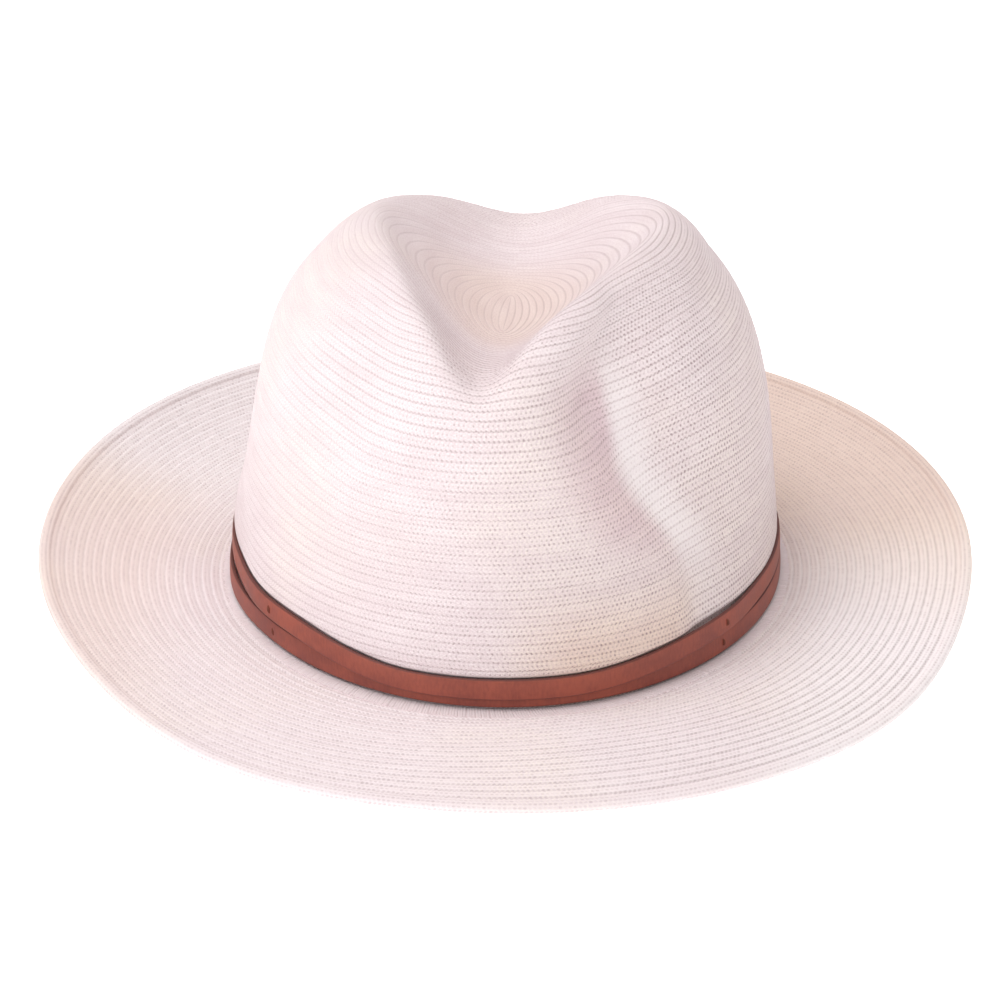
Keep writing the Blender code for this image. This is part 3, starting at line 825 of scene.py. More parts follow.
def braid_finish(name, settings, opened=1.0, dash=0.25, crown=False):
    """Cotton braid: knitted loops in rows, with a gap at each loop."""
    braid = Finish(name, 0.82, 0.25)
    chart, spot = braid.chart(), braid.spot()
    u, v, _ = braid.parts(chart)
    place = braid.parts(spot)
    seam = eyelets(braid, u, v, 0.03, 0.0, (dash, 0.165), 0.3, 0.7)
    middle = eyelets(braid, u, v, 0.53, 0.5, (dash, 0.15), 0.25, 0.65)
    gaps = braid.times(braid.either(seam, middle), opened)
    lean = braid.times(braid.calc("PINGPONG", v, 0.25), 2.6)
    loops = braid.calc("SINE", braid.times(braid.plus(u, lean), 2 * math.pi))
    fibre = braid.noise(chart, 1.0, 3.0, 0.7, (2.2, 6.0, 1.0))
    patch = braid.noise(chart, 1.0, 2.0, 0.5, (0.06, 0.5, 1.0))
    shade = braid.plus(braid.times(fibre, 0.72), braid.times(patch, 0.20), braid.times(loops, 0.035))
    wash = braid.step(braid.noise(spot, 13.0, 2.0, 0.5), 0.40, 0.62)
    pale = braid.tint(wash, settings.colour, settings.warm_colour)
    # The brim's paler strands are painted light
    share = 1.0 if crown else BRIM_SHADE
    dark = [share * s + (1 - share) * c for s, c in zip(settings.shade_colour, settings.colour)]
    colour = braid.tint(braid.step(shade, 0.34, 0.60), dark, pale)
    if crown:
        colour, gaps, bold = crown_marks(braid, settings, place, v, colour, gaps)
    else:
        colour, bold = brim_marks(braid, settings, place, colour), BRIM_LINE
    line = braid.calc("FRACT", braid.plus(v, 0.5))
    line = braid.calc("ABSOLUTE", braid.calc("SUBTRACT", line, 0.5))
    line = braid.times(braid.step(line, *LINE_EDGE), bold)
    for amount in (line, braid.times(gaps, GAP_DEPTH)):
        colour = braid.tint(amount, colour, settings.gap_colour)
    height = braid.plus(braid.times(loops, 0.16), braid.times(fibre, 0.45))
    return braid.dress(colour, braid.calc("SUBTRACT", height, gaps), 0.00025, 0.7)


def leather_finish(name, settings):
    """Waxed leather: mottled, finely grained, and darker along its cut edges."""
    leather = Finish(name, 0.5, 0.45)
    leather.shader.inputs["Coat Weight"].default_value = 0.05
    leather.shader.inputs["Coat Roughness"].default_value = 0.35
    chart, spot = leather.chart(), leather.spot()
    clouds = leather.noise(spot, 55.0, 4.0, 0.6)
    streaks = leather.noise(chart, 3.0, 3.0, 0.6, (4.0, 0.8, 1.0))
    grain = leather.put("TexVoronoi", spot, None, 2600.0)
    pores = leather.noise(spot, 1800.0, 3.0, 0.6)
    shade = leather.plus(leather.times(clouds, 0.6), leather.times(streaks, 0.4))
    colour = leather.tint(leather.step(shade, 0.32, 0.68), settings.shade_colour, settings.colour)
    across = leather.calc("FRACT", leather.parts(chart)[1])
    edge = leather.calc("ABSOLUTE", leather.calc("SUBTRACT", across, 0.5))
    edge = leather.times(leather.step(edge, 0.43, 0.485), 0.85)
    colour = leather.tint(edge, colour, settings.edge_colour)
    layers = ((grain, 0.5), (pores, 0.5), (streaks, 0.8))
    height = leather.plus(*(leather.times(layer, depth) for layer, depth in layers))
    rough = leather.put("MapRange", shade, 0.2, 0.8, 0.42, 0.62)
    return leather.dress(colour, height, 0.00008, 0.6, rough)


def thread_finish(name, colour, dark):
    """Twisted thread."""
    thread = Finish(name, 0.7, 0.3)
    ply = thread.noise(thread.spot(), 2400.0, 2.0, 0.6)
    return thread.dress(thread.tint(ply, dark, colour), ply, 0.00006, 0.6)


def ribbon_finish(name, colour, dark):
    """Ribbed grosgrain ribbon, its ribs running up the band."""
    ribbon = Finish(name, 0.8, 0.25)
    chart = ribbon.chart()
    ribs = ribbon.calc("SINE", ribbon.times(ribbon.parts(chart)[0], 2 * math.pi))
    fine = ribbon.noise(chart, 2.0, 3.0, 0.6, (3.0, 40.0, 1.0))
    height = ribbon.plus(ribbon.times(ribs, 0.5), ribbon.times(fine, 0.5))
    return ribbon.dress(ribbon.tint(ribbon.step(height, -0.3, 0.7), dark, colour), height, 0.0002, 0.7)


def floor_finish(name, colour):
    """Plain matt paper, hardly mottled."""
    paper = Finish(name, 0.9, 0.1)
    paper.shader.inputs["Emission Color"].default_value = (1, 1, 1, 1)
    paper.shader.inputs["Emission Strength"].default_value = 0.7
    clouds = paper.noise(paper.spot(), 3.0, 2.0, 0.5)
    paler = [min(1.0, c * 1.01) for c in colour]
    return paper.dress(paper.tint(clouds, colour, paler))


# ---------------------------------------------------------------- settings


def colour_field(name, description, default):
    return FloatVectorProperty(name=name, description=description, default=default, subtype="COLOR")


def length_field(name, description, default):
    return FloatProperty(name=name, description=description, default=default, unit="LENGTH")


def angle_field(name, description, default):
    return FloatProperty(name=name, description=description, default=default, subtype="ANGLE")


class HAT_PG_braid(bpy.types.PropertyGroup):
    crown_rows: IntProperty(
        name="Crown rows", description="Rows of braid from the crown's foot to its tip",
        default=66, min=24, max=90,
    )
    brim_rows: IntProperty(
        name="Brim rows", description="Rows of braid across the brim",
        default=21, min=8, max=32,
    )
    crown_relief: length_field("Crown relief", "Step where a row laps the next", 0.00020)
    brim_relief: length_field("Brim relief", "Step where a row laps the next", 0.00042)
    stitch: length_field("Stitch", "Length of one loop along a row", 0.00145)
    colour: colour_field("Colour", "The braid", (0.90, 0.825, 0.83))
    warm_colour: colour_field("Warm", "Where it has yellowed a little", (0.90, 0.82, 0.775))
    shade_colour: colour_field("Shade", "Its darker strands", (0.76, 0.655, 0.665))
    # A warm tint for painted shade on the crown's front, in the dent and on the brim's back right, and for
    # painted warm light at the brim's left
    painted_warm_colour: colour_field("Painted warm tint", "Tint of the brim's edge and the dent", (0.99, 0.91, 0.80))
    # Painted shade, multiplied into the finger crease
    crease_shade_colour: colour_field("Crease", "Tint in the finger crease", (0.90, 0.82, 0.85))
    # Paints the highlight on the fold and the light on the brim
    lit_colour: colour_field("Painted light colour", "Paler braid beside the crease and on the brim", (0.93, 0.89, 0.89))
    gap_colour: colour_field("Gaps", "The gaps between loops", (0.38, 0.27, 0.275))


class HAT_PG_straps(bpy.types.PropertyGroup):
    width: length_field("Width", "Width of each strap", STRAP_WIDTH)
    thickness: length_field("Thickness", "Thickness of the leather", STRAP_THICKNESS)
    colour: colour_field("Colour", "The leather", (0.365, 0.085, 0.049))
    shade_colour: colour_field("Shade", "Its darker clouds", (0.225, 0.050, 0.034))
    edge_colour: colour_field("Edges", "The dyed, cut edges", (0.10, 0.028, 0.022))


class HAT_PG_lining(bpy.types.PropertyGroup):
    colour: colour_field("Colour", "The sweatband", (0.78, 0.72, 0.64))
    shade_colour: colour_field("Shade", "Between its ribs", (0.55, 0.49, 0.42))
    rib: length_field("Rib", "Width of one rib of the ribbon", 0.0011)


class HAT_PG_stage(bpy.types.PropertyGroup):
    azimuth: angle_field("Azimuth", "Camera, round from the front", math.radians(4.0))
    elevation: angle_field("Elevation", "Camera, above the brim", math.radians(23.5))
    distance: length_field("Distance", "Camera to the middle of the hat", 1.3)
    lens: FloatProperty(name="Lens", description="Focal length", default=145.3, subtype="DISTANCE_CAMERA")
    key: FloatProperty(name="Key light", description="Strength of the light at the left", default=12.6)
    top: FloatProperty(name="Top light", description="Strength of the light above", default=31.0)
    fill: FloatProperty(name="Fill light", description="Strength of the light at the right", default=4.9)
    world: FloatProperty(name="Room", description="Strength of the light all round", default=0.5)
    floor_colour: colour_field("Floor", "The paper under the hat", (0.93, 0.93, 0.93))


GROUPS = {
    "hat_braid": HAT_PG_braid,
    "hat_straps": HAT_PG_straps,
    "hat_lining": HAT_PG_lining,
    "hat_stage": HAT_PG_stage,
}


# ---------------------------------------------------------------- pieces


class HAT_OT_crown(bpy.types.Operator):
    """Sews the crown's rows of braid, from its foot to the slit at its tip"""

    bl_idname = "hat.crown"
    bl_label = "Crown"

    def execute(self, context):
        settings = context.scene.hat_braid
        made = braid_finish("crown_braid", settings, crown=True)
        cuts = [round(settings.crown_rows * part / 3) for part in range(4)]
        for part, name in enumerate(("crown_lower_rows", "crown_upper_rows", "crown_tip_rows")):
            mesh = self.rows(settings, cuts[part], cuts[part + 1], part)
            add_piece(name, mesh, made, "braid", "crown")
        return {"FINISHED"}

    def rows(self, settings, first, last, seed):
        """Rows first to last as one closed shell, outside up and inside down."""
        rows = range(first, last)
        outside = [(row + share, lift, 0.0) for row in rows for share, lift in LAPPED_ROW]
        inside = [(row + share, lift, -CROWN_WALL) for row in rows for share, lift in INNER_ROW]
        tip = last == settings.crown_rows
        outside.append((last, 0.0 if tip else LAPPED_ROW[0][1], 0.0))
        inside.append((last, 0.0, -CROWN_WALL))
        inside.reverse()
        lines = inside + outside if tip else outside + inside + outside[:1]
        row, lift, depth = (np.array(column) for column in zip(*lines))

        def place(share, line):
            angle = (2 * share - 1) * math.pi
            way = row_way(angle, row[line] / settings.crown_rows)
            rise = lift[line] * settings.crown_relief * uneven(angle, np.floor(row[line]), seed)
            tip_fade = np.clip((settings.crown_rows - row[line]) / 2, 0, 1)
            return lifted(crown_surface, angle, way, rise * tip_fade + depth[line], 1)

        return bent_grid("crown", place, AROUND_CROWN, row, settings.stitch, seed)


class HAT_OT_brim(bpy.types.Operator):
    """Sews the brim's rows, with the collar that stands up inside the crown"""

    bl_idname = "hat.brim"
    bl_label = "Brim"

    def execute(self, context):
        settings = context.scene.hat_braid
        count = settings.brim_rows
        top = [(row + 1 - share, lift) for row in range(count) for share, lift in LAPPED_ROW[1:]]
        top += [(row + 1 + LAP_STEP, LAPPED_ROW[0][1]) for row in range(count - 1)]
        under = [(row + share, lift) for row in range(count) for share, lift in UNDER_ROW]
        under.append((count, UNDER_ROW[0][1]))
        collar = [(row, COLLAR_HEIGHT * share) for row, share in ((-1.5, 1.0), (-1.2, 0.66), (-0.9, 0.33))]
        collar.append((-0.5, COLLAR_FOOT))
        kinds = [("collar_out", *spot) for spot in collar]
        kinds += [("top", *spot) for spot in sorted(top)]
        kinds += [("under", *spot) for spot in reversed(under)]
        kinds += [("collar_in", *spot) for spot in reversed(collar)]
        kinds.append(kinds[0])

        def place(share, line):
            angle = (2 * share - 1) * math.pi
            points = np.empty((len(angle), 3))
            for index, (kind, row, value) in enumerate(kinds):
                here = line == index
                points[here] = self.point(kind, angle[here], row, value, settings)
            return points

        rows = np.array([row for _, row, _ in kinds], float)
        mesh = bent_grid("brim", place, AROUND_BRIM, rows, settings.stitch, 7)
        add_piece("brim_rows", mesh, braid_finish("brim_braid", settings, 0.6, 0.4), "braid", "brim")
        return {"FINISHED"}

    def point(self, kind, angle, row, value, settings):
        """A point of the collar at a height, or of a row's face at its lift."""
        if kind == "collar_out":
            return wall_point(angle, -COLLAR_BACK + 0 * angle, value)
        if kind == "collar_in":
            drop = BRIM_THICKNESS if value == COLLAR_FOOT else 0.0
            return wall_point(angle, -COLLAR_BACK - BRIM_THICKNESS + 0 * angle, value - drop)
        out = row / settings.brim_rows * (brim_width(angle) - EDGE_INSET)
        rise = value * settings.brim_relief * uneven(angle, np.floor(row), 3)
        if kind == "under":
            return lifted(brim_point, angle, out, rise * 0.5 + BRIM_THICKNESS - UNDER_CLEARANCE, 1)
        return lifted(brim_point, angle, out, rise, -1)


class HAT_OT_edge_row(bpy.types.Operator):
    """Folds the last row of braid over the brim's edge"""

    bl_idname = "hat.edge_row"
    bl_label = "Edge row"

    def execute(self, context):
        settings = context.scene.hat_braid
        half = BRIM_THICKNESS / 2
        far, thick, near = EDGE_ROW_REACH, EDGE_ROW_WALL, EDGE_INSET * 0.55
        outer = [(-far, half + 0.00012), (-far * 0.93, half + thick * 0.8)]
        outer += [(-far * 0.6, half + thick * 1.15), (-far * 0.25, half + thick)]
        tall = 0.92 / math.sin(math.radians(EDGE_ROW_TURN))
        for share in np.linspace(1, -1, 7):
            turn = math.radians(EDGE_ROW_TURN * share)
            across = (half + thick) * (math.cos(turn) - 0.5) + 0.0002
            outer.append((across, (half + thick) * math.sin(turn) * tall))
        outer += [(x, -y) for x, y in reversed(outer[:4])]
        inner = [(-far, -half - 0.0001), (-near, -half - 0.0001), (-near, half + 0.0001)]
        spots = np.array(outer + inner + outer[:1])
        lengths = np.hypot(*np.diff(spots, axis=0).T)
        rows = 0.3 + np.concatenate([[0], np.cumsum(lengths)]) / ROW_PITCH

        def place(share, line):
            angle = (2 * share - 1) * math.pi
            width = brim_width(angle)
            edge = brim_point(angle, width)
            along = edge - brim_point(angle, width - 0.003)
            along /= np.linalg.norm(along, axis=1, keepdims=True)
            away = outward(angle)
            level = np.hypot(along[:, 0], along[:, 1])
            up = np.stack([-along[:, 2] * away[0], -along[:, 2] * away[1], level], -1)
            middle = edge - up * half
            return middle + along * spots[line, 0, None] + up * spots[line, 1, None]

        mesh = bent_grid("edge_row", place, AROUND_BRIM, rows, settings.stitch, 11)
        made = braid_finish("edge_braid", settings, 0.5, 0.4)
        add_piece("edge_row_fold", mesh, made, "braid", "edge_row")
        return {"FINISHED"}


class HAT_OT_foot_stitches(bpy.types.Operator):
    """Lays the slanted strands that join crown and brim, below the straps"""

    bl_idname = "hat.foot_stitches"
    bl_label = "Foot stitches"

    def execute(self, context):
        settings = context.scene.hat_braid
        luck = np.random.default_rng(5)
        lines = []
        for k in range(FOOT_STITCHES):
            angle = (2 * (k + 0.3 * luck.random()) / FOOT_STITCHES - 1) * math.pi
            front = float(np.exp(-((angle / math.radians(STITCH_SPREAD)) ** 2)))
            reach = STITCH_REACH * (1 + front) + STITCH_UNEVEN * luck.random()
            slant = STITCH_SLANT[0] + STITCH_SLANT[1] * luck.random()
            steps = np.linspace(0, 1, 6)
            out = STITCH_START + (reach - STITCH_START) * steps
            above = STITCH_HUMP * np.sin(math.pi * steps) + STITCH_RISE * (1 - steps) - STITCH_SINK
            lines.append(brim_point(angle + slant * steps, out, above))
        mesh = threads("foot_stitches", lines, STITCH_RADIUS)
        made = thread_finish("straw_strand", settings.colour, settings.shade_colour)
        add_piece("foot_stitches", mesh, made, "braid", "seam_thread")
        return {"FINISHED"}


def strap_section(width, thickness):
    """A flat strap's outline with rounded corners: out from its inner face, up from its foot."""
    corner = STRAP_CORNER
    spots = []
    for out, up, start in ((thickness, width, 0), (0, width, 90), (0, 0, 180), (thickness, 0, 270)):
        middle_out = out - corner if out else corner
        middle_up = up - corner if up else corner
        for degrees in (0, 30, 60, 90):
            turn = math.radians(start + degrees)
            spots.append((middle_out + corner * math.cos(turn), middle_up + corner * math.sin(turn)))
    for share in (0.15, 0.3, 0.5, 0.7, 0.85):
        spots.append((thickness + STRAP_CROWN * math.sin(math.pi * share), width * share))
    return spots + spots[:1]


class HAT_OT_straps(bpy.types.Operator):
    """Runs the two leather straps round the crown's foot"""

    bl_idname = "hat.straps"
    bl_label = "Straps"

    def execute(self, context):
        settings = context.scene.hat_straps
        made = leather_finish("strap_leather", settings)
        section = np.array(strap_section(settings.width, settings.thickness))
        rows = section[:, 1] / settings.width * 0.998 + 0.001
        span = math.pi - math.radians(STRAP_END_GAP)
        for name, upper in (("lower_strap", False), ("upper_strap", True)):
            foot = upper_strap_foot if upper else lower_strap_foot

            def place(share, line, upper=upper, foot=foot):
                angle = (2 * share - 1) * span
                out = strap_out(angle, upper) + (0.0 if upper else self.flare(angle))
                return wall_point(angle, out + section[line, 0], foot(angle) + section[line, 1])

            mesh = bent_grid(name, place, AROUND_STRAP, rows, 0.01, 2)
            add_piece(name + "_leather", mesh, made, "strap", name)
        return {"FINISHED"}

    def flare(self, angle):
        """How much further the lower strap stands away from the crown at the left."""
        aside = (np.degrees(angle) - FLARE_ANGLE) / FLARE_SPREAD
        return FLARE * np.exp(-aside * aside)


class HAT_OT_keeper(bpy.types.Operator):
    """Wraps the leather sleeve round the straps' ends at the back"""

    bl_idname = "hat.keeper"
    bl_label = "Strap keeper"

    def execute(self, context):
        made = leather_finish("keeper_leather", context.scene.hat_straps)
        inside = float(strap_out(math.pi, False)) - KEEPER_CLEARANCE
        outside = inside + 2 * KEEPER_CLEARANCE + STRAP_THICKNESS
        low = float(lower_strap_foot(math.pi)) - KEEPER_CLEARANCE
        high = float(upper_strap_foot(math.pi)) + STRAP_WIDTH + KEEPER_CLEARANCE
        corner = KEEPER_CLEARANCE
        loop = []
        corners = ((outside, high), (inside, high), (inside, low), (outside, low))
        for quarter, (out, up) in enumerate(corners):
            for degrees in (0, 22.5, 45, 67.5, 90):
                turn = math.radians(90 * quarter + degrees)
                middle_out = out + (corner if out == inside else -corner)
                middle_up = up + (corner if up == low else -corner)
                loop.append((middle_out, middle_up, math.cos(turn), math.sin(turn)))
        loop.append(loop[0])
        loop = np.array(loop)
        half = KEEPER_HALF_WIDTH / HALF_WIDTH
        wall = KEEPER_WALL
        profile = [(across, wall) for across in (-KEEPER_BEVEL, -0.6, 0.0, 0.6, KEEPER_BEVEL)]
        profile += [(1.0, wall * 0.7), (1.0, wall * 0.3)]
        profile += [(KEEPER_BEVEL, 0.0), (0.0, 0.0), (-KEEPER_BEVEL, 0.0)]
        profile += [(-1.0, wall * 0.3), (-1.0, wall * 0.7), (-KEEPER_BEVEL, wall)]
        profile = np.array(profile)
        rows = 0.5 + 0.49 * profile[:, 0]

        def place(share, line):
            spot = np.rint(share * (len(loop) - 1)).astype(int)
            grow = corner + profile[line, 1]
            out = loop[spot, 0] + loop[spot, 2] * grow
            up = loop[spot, 1] + loop[spot, 3] * grow
            return wall_point(math.pi + profile[line, 0] * half, out, up)

        mesh = bent_grid("strap_keeper", place, len(loop) - 1, rows, 0.01, 2)
        add_piece("strap_keeper_leather", mesh, made, "strap", "strap_keeper", sharp=50)
        thread = thread_finish("tack_thread", LEATHER_THREAD, LEATHER_THREAD_DARK)
        front = outside + KEEPER_WALL
        lines = []
        for shift in KEEPER_STITCH_LINES:
            for k in range(KEEPER_STITCHES):
                middle = low + (high - low) * (KEEPER_STITCH_FROM + KEEPER_STITCH_STEP * k)
                lines.append(bar(math.pi + shift * half, front, middle, KEEPER_STITCH))
        mesh = threads("keeper_stitches", lines, THREAD_RADIUS)
        add_piece("keeper_stitches", mesh, thread, "thread", "keeper_stitch")
        return {"FINISHED"}


def bar(angle, out, middle, length):
    """A stitch standing up a face: it dips in at both ends."""
    steps = np.linspace(-1, 1, 7)
    away = out + THREAD_RISE * (np.cos(steps * math.pi / 2) ** 0.6 - (np.abs(steps) > 0.99))
    return wall_point(np.full(7, angle), away, middle + length / 2 * steps)


class HAT_OT_tacks(bpy.types.Operator):
    """Tacks the straps to the crown at each side"""

    bl_idname = "hat.tacks"
    bl_label = "Tacks"

    def execute(self, context):
        made = thread_finish("side_tack_thread", LEATHER_THREAD, SIDE_TACK_DARK)
        for side, degrees in TACK_ANGLES.items():
            angle = math.radians(degrees)
            for level, upper in (("upper", True), ("lower", False)):
                foot = (upper_strap_foot if upper else lower_strap_foot)(angle)
                out = float(strap_out(angle, upper)) + STRAP_THICKNESS + TACK_LIFT
                middle = float(foot) + STRAP_WIDTH / 2
                lines = [bar(angle, out, middle, TACK_LENGTH)]
                lines.append(bar(angle + TACK_STEP, out, middle - TACK_DROP, TACK_LENGTH * 0.8))
                name = f"tack_{side}_{level}"
                mesh = threads(name, lines, THREAD_RADIUS)
                add_piece(name + "_thread", mesh, made, "thread", name)
        return {"FINISHED"}


class HAT_OT_sweatband(bpy.types.Operator):
    """Lines the opening with its ribbon, the reed below it and a row of stitches"""

    bl_idname = "hat.sweatband"
    bl_label = "Sweatband"

    def execute(self, context):
        lining = context.scene.hat_lining
        ribbon = ribbon_finish("sweatband_ribbon", lining.colour, lining.shade_colour)
        heights = np.linspace(SWEATBAND_FOOT, SWEATBAND_HEIGHT, 15)
        rim, wall = SWEATBAND_RIM, SWEATBAND_WALL
        top, foot = heights[-1], heights[0]
        lines = [(h, 0.0) for h in heights[1:-1]]
        lines += [(top - rim, rim), (top, wall / 2), (top - rim, wall - rim)]
        lines += [(h, wall) for h in heights[-2:0:-1]]
        lines += [(foot + rim, wall - rim), (foot, wall / 2), (foot + rim, rim)]
        lines.append(lines[0])
        height, depth = (np.array(column) for column in zip(*lines))

        def place(share, line):
            angle = (2 * share - 1) * math.pi
            wave = SWEATBAND_WAVE * np.sin(SWEATBAND_WAVES * angle) * (height[line] / SWEATBAND_HEIGHT) ** 2
            return wall_point(angle, sweatband_out(height[line]) - depth[line] + wave, height[line])

        rows = height / SWEATBAND_HEIGHT * 0.98
        mesh = bent_grid("sweatband", place, AROUND_LINING, rows, lining.rib, 4)
        add_piece("sweatband_ribbon", mesh, ribbon, "sweatband", "sweatband")
        self.reed(lining, ribbon)
        self.stitching(lining)
        return {"FINISHED"}

    def reed(self, lining, ribbon):
        middle = float(sweatband_out(0)) - REED_RADIUS

        def place(share, line):
            angle = (2 * share - 1) * math.pi
            turn = 2 * math.pi * line / REED_SIDES
            height = SWEATBAND_FOOT - GAP - REED_RADIUS + REED_RADIUS * np.sin(turn)
            return wall_point(angle, middle + REED_RADIUS * np.cos(turn), height)

        rows = np.arange(REED_SIDES + 1) / (REED_SIDES + 1)
        mesh = bent_grid("sweatband_reed", place, AROUND_LINING, rows, lining.rib, 6)
        add_piece("sweatband_reed_cord", mesh, ribbon, "sweatband", "sweatband_reed")

    def stitching(self, lining):
        face = float(sweatband_out(LINING_STITCH_HEIGHT)) - SWEATBAND_WALL - THREAD_RADIUS * 0.6
        dips = np.array((0.0003, 0, -0.0001, 0, 0.0003))
        lines = []
        for k in range(LINING_STITCHES):
            turn = (2 * (k + np.linspace(0.12, 0.88, 5)) / LINING_STITCHES - 1) * math.pi
            lines.append(wall_point(turn, face + dips, LINING_STITCH_HEIGHT))
        made = thread_finish("lining_thread", lining.colour, lining.shade_colour)
        mesh = threads("sweatband_stitching", lines, THREAD_RADIUS)
        add_piece("sweatband_stitches", mesh, made, "thread", "sweatband_stitching")


class HAT_OT_bow(bpy.types.Operator):
    """Ties the small flat bow over the sweatband's join"""

    bl_idname = "hat.bow"
    bl_label = "Bow"

    def execute(self, context):
        lining = context.scene.hat_lining
        made = ribbon_finish("bow_ribbon", lining.colour, lining.shade_colour)
        low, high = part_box("sweatband_bow")
        middle = (low + high) / 2
        bm = bmesh.new()
        bmesh.ops.create_grid(bm, x_segments=40, y_segments=10, size=1)
        for vert in bm.verts:
            across, up = vert.co.x, vert.co.y
            waist = BOW_WAIST + 0.74 * math.sin(min(1.0, abs(across) / 0.72) * math.pi / 2) ** 1.4
            puff = BOW_PUFF * math.sin(min(1.0, abs(across)) * math.pi) * (1 - 0.5 * up * up)
            pleat = BOW_PLEAT * math.cos(up * 3 * math.pi) * (1 - abs(across))
            vert.co = (across * BOW_HALF_SPAN, -puff - pleat, up * BOW_HALF_HEIGHT * waist)
        bmesh.ops.create_uvsphere(
            bm, u_segments=20, v_segments=12, radius=1,
            matrix=Matrix.Translation((0, -0.0004, 0)) @ Matrix.Diagonal(BOW_KNOT),
        )
        loops = [f for f in bm.faces if len(f.verts) == 4 and abs(f.calc_center_median().x) > 0.0001]
        bmesh.ops.solidify(bm, geom=loops, thickness=BOW_RIBBON)
        bmesh.ops.transform(bm, matrix=Matrix.Translation(middle), verts=bm.verts)
        mesh = bpy.data.meshes.new("bow")
        bm.loops.layers.uv.verify()
        bm.to_mesh(mesh)
        bm.free()
        add_piece("sweatband_bow_ribbon", mesh, made, "sweatband", "sweatband_bow")
        return {"FINISHED"}


class HAT_OT_size_tab(bpy.types.Operator):
    """Sews the blank woven tab inside the sweatband"""

    bl_idname = "hat.size_tab"
    bl_label = "Size tab"

    def execute(self, context):
        lining = context.scene.hat_lining
        made = ribbon_finish("tab_weave", (0.85, 0.83, 0.80), lining.shade_colour)
        angle = math.pi - math.radians(TAB_TURN)
        away = outward(angle)
        inner = float(sweatband_out(BOW_HEIGHT)) - SWEATBAND_WALL - GAP - TAB_CLEARANCE
        turn = Matrix.Rotation(math.atan2(away[1], away[0]) - math.pi / 2, 4, "Z")
        spot = Matrix.Translation(Vector(wall_point(angle, inner, BOW_HEIGHT)))
        bm = bmesh.new()
        bmesh.ops.create_cube(bm, size=1, calc_uvs=False)
        bmesh.ops.scale(bm, vec=TAB_SIZE, verts=bm.verts)
        bmesh.ops.subdivide_edges(bm, edges=bm.edges, cuts=6, use_grid_fill=True)
        bmesh.ops.bevel(
            bm, geom=[e for e in bm.edges if e.calc_face_angle(0) > 1], offset=TAB_EDGE, segments=2,
            affect="EDGES", profile=0.5, material=-1,
        )
        for vert in bm.verts:
            vert.co.y += TAB_BEND * vert.co.x**2 - TAB_RIPPLE * math.cos(vert.co.z * TAB_RIPPLES)
        bmesh.ops.transform(bm, matrix=HAT @ spot @ turn, verts=bm.verts)
        bmesh.ops.recalc_face_normals(bm, faces=bm.faces)
        mesh = bpy.data.meshes.new("tab")
        bm.to_mesh(mesh)
        bm.free()
        mesh.uv_layers.new(name="UVMap")
        add_piece("size_tab_weave", mesh, made, "sweatband", "size_tab", sharp=40)
        return {"FINISHED"}


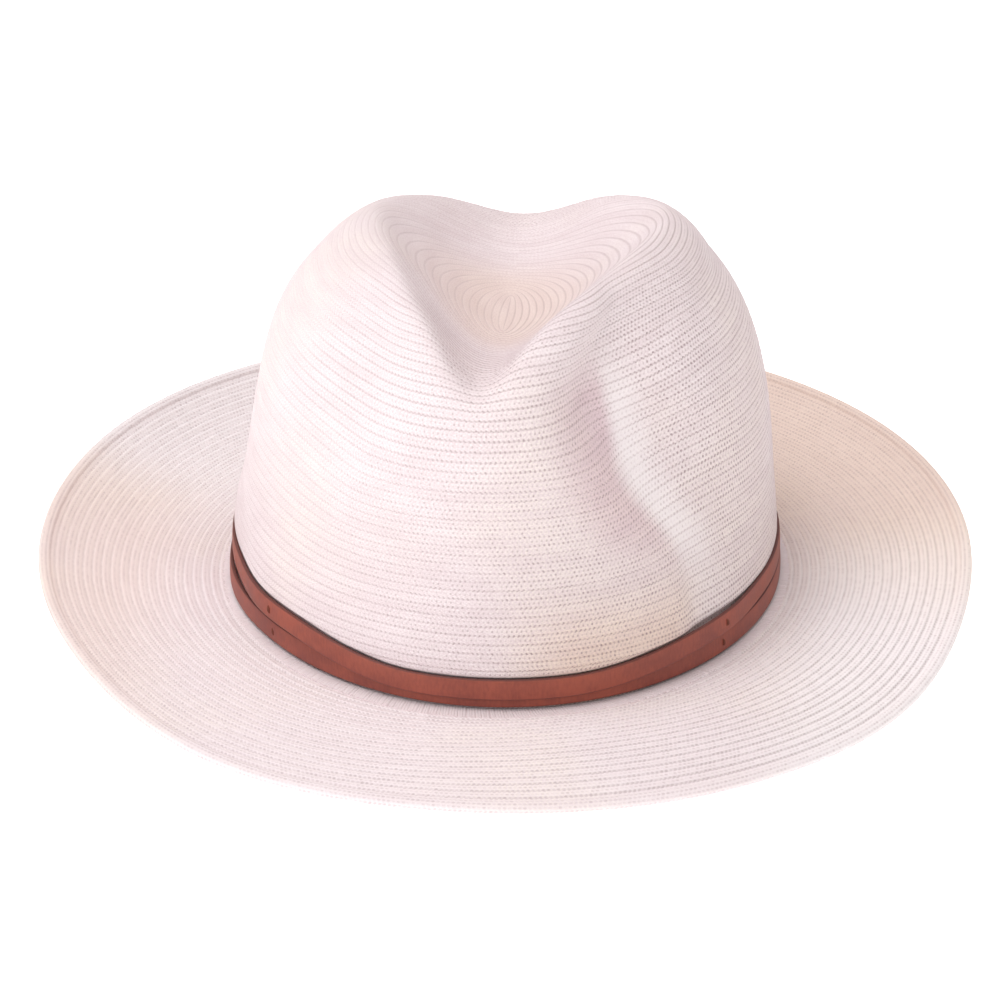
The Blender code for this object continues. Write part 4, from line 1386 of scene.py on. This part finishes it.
class HAT_OT_stage(bpy.types.Operator):
    """Sets the floor, the lights and the camera"""

    bl_idname = "hat.stage"
    bl_label = "Stage"

    def execute(self, context):
        stage = context.scene.hat_stage
        self.floor(stage)
        self.lights(context.scene, stage)
        self.camera(context.scene, stage)
        return {"FINISHED"}

    def floor(self, stage):
        bm = bmesh.new()
        bmesh.ops.create_grid(bm, x_segments=8, y_segments=8, size=FLOOR_REACH)
        mesh = bpy.data.meshes.new("floor")
        bm.to_mesh(mesh)
        bm.free()
        mesh.materials.append(floor_finish("floor_paper", stage.floor_colour))
        floor = bpy.data.objects.new("floor", mesh)
        bpy.context.scene.collection.objects.link(floor)

    def lights(self, scene, stage):
        world = bpy.data.worlds.new("room")
        world.use_nodes = True
        sky = world.node_tree.nodes["Background"]
        sky.inputs["Color"].default_value = ROOM_COLOUR
        sky.inputs["Strength"].default_value = stage.world
        scene.world = world
        scene.view_settings.view_transform = "Standard"
        for name, spot, size, colour in LAMPS:
            self.lamp(name, spot, size, getattr(stage, name), colour)

    def lamp(self, name, spot, size, power, colour):
        data = bpy.data.lights.new(name, "AREA")
        data.shape = "DISK"
        data.size = size
        data.energy = power
        data.color = colour
        lamp = bpy.data.objects.new(name, data)
        bpy.context.scene.collection.objects.link(lamp)
        lamp.location = spot
        lamp.rotation_euler = (-Vector(spot)).to_track_quat("-Z", "Y").to_euler()

    def camera(self, scene, stage):
        data = bpy.data.cameras.new("camera")
        data.lens = stage.lens
        data.shift_x, data.shift_y = CAMERA_SHIFT
        camera = bpy.data.objects.new("camera", data)
        scene.collection.objects.link(camera)
        level = math.cos(stage.elevation)
        spot = Vector((
            math.sin(stage.azimuth) * level,
            -math.cos(stage.azimuth) * level,
            math.sin(stage.elevation),
        ))
        facing = (-spot).to_track_quat("-Z", "Y").to_matrix().to_4x4()
        camera.matrix_world = HAT @ Matrix.Translation(spot * stage.distance) @ facing
        scene.camera = camera


OPERATORS = (
    HAT_OT_crown,
    HAT_OT_brim,
    HAT_OT_edge_row,
    HAT_OT_foot_stitches,
    HAT_OT_straps,
    HAT_OT_keeper,
    HAT_OT_tacks,
    HAT_OT_sweatband,
    HAT_OT_bow,
    HAT_OT_size_tab,
    HAT_OT_stage,
)


class HAT_PT_panel(bpy.types.Panel):
    bl_idname = "HAT_PT_panel"
    bl_label = "Braid fedora"
    bl_space_type = "VIEW_3D"
    bl_region_type = "UI"
    bl_category = "Hat"

    def draw(self, context):
        for group, kind in GROUPS.items():
            box = self.layout.box()
            for field in kind.__annotations__:
                box.prop(getattr(context.scene, group), field)
        for operator in OPERATORS:
            self.layout.operator(operator.bl_idname)


def register():
    for kind in (*GROUPS.values(), *OPERATORS, HAT_PT_panel):
        bpy.utils.register_class(kind)
    for group, kind in GROUPS.items():
        setattr(bpy.types.Scene, group, PointerProperty(type=kind))


def unregister():
    for group in GROUPS:
        delattr(bpy.types.Scene, group)
    for kind in reversed((*GROUPS.values(), *OPERATORS, HAT_PT_panel)):
        bpy.utils.unregister_class(kind)


def main():
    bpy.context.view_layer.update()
    register()
    for operator in OPERATORS:
        group, action = operator.bl_idname.split(".")
        getattr(getattr(bpy.ops, group), action)()


if __name__ == "__main__":
    main()
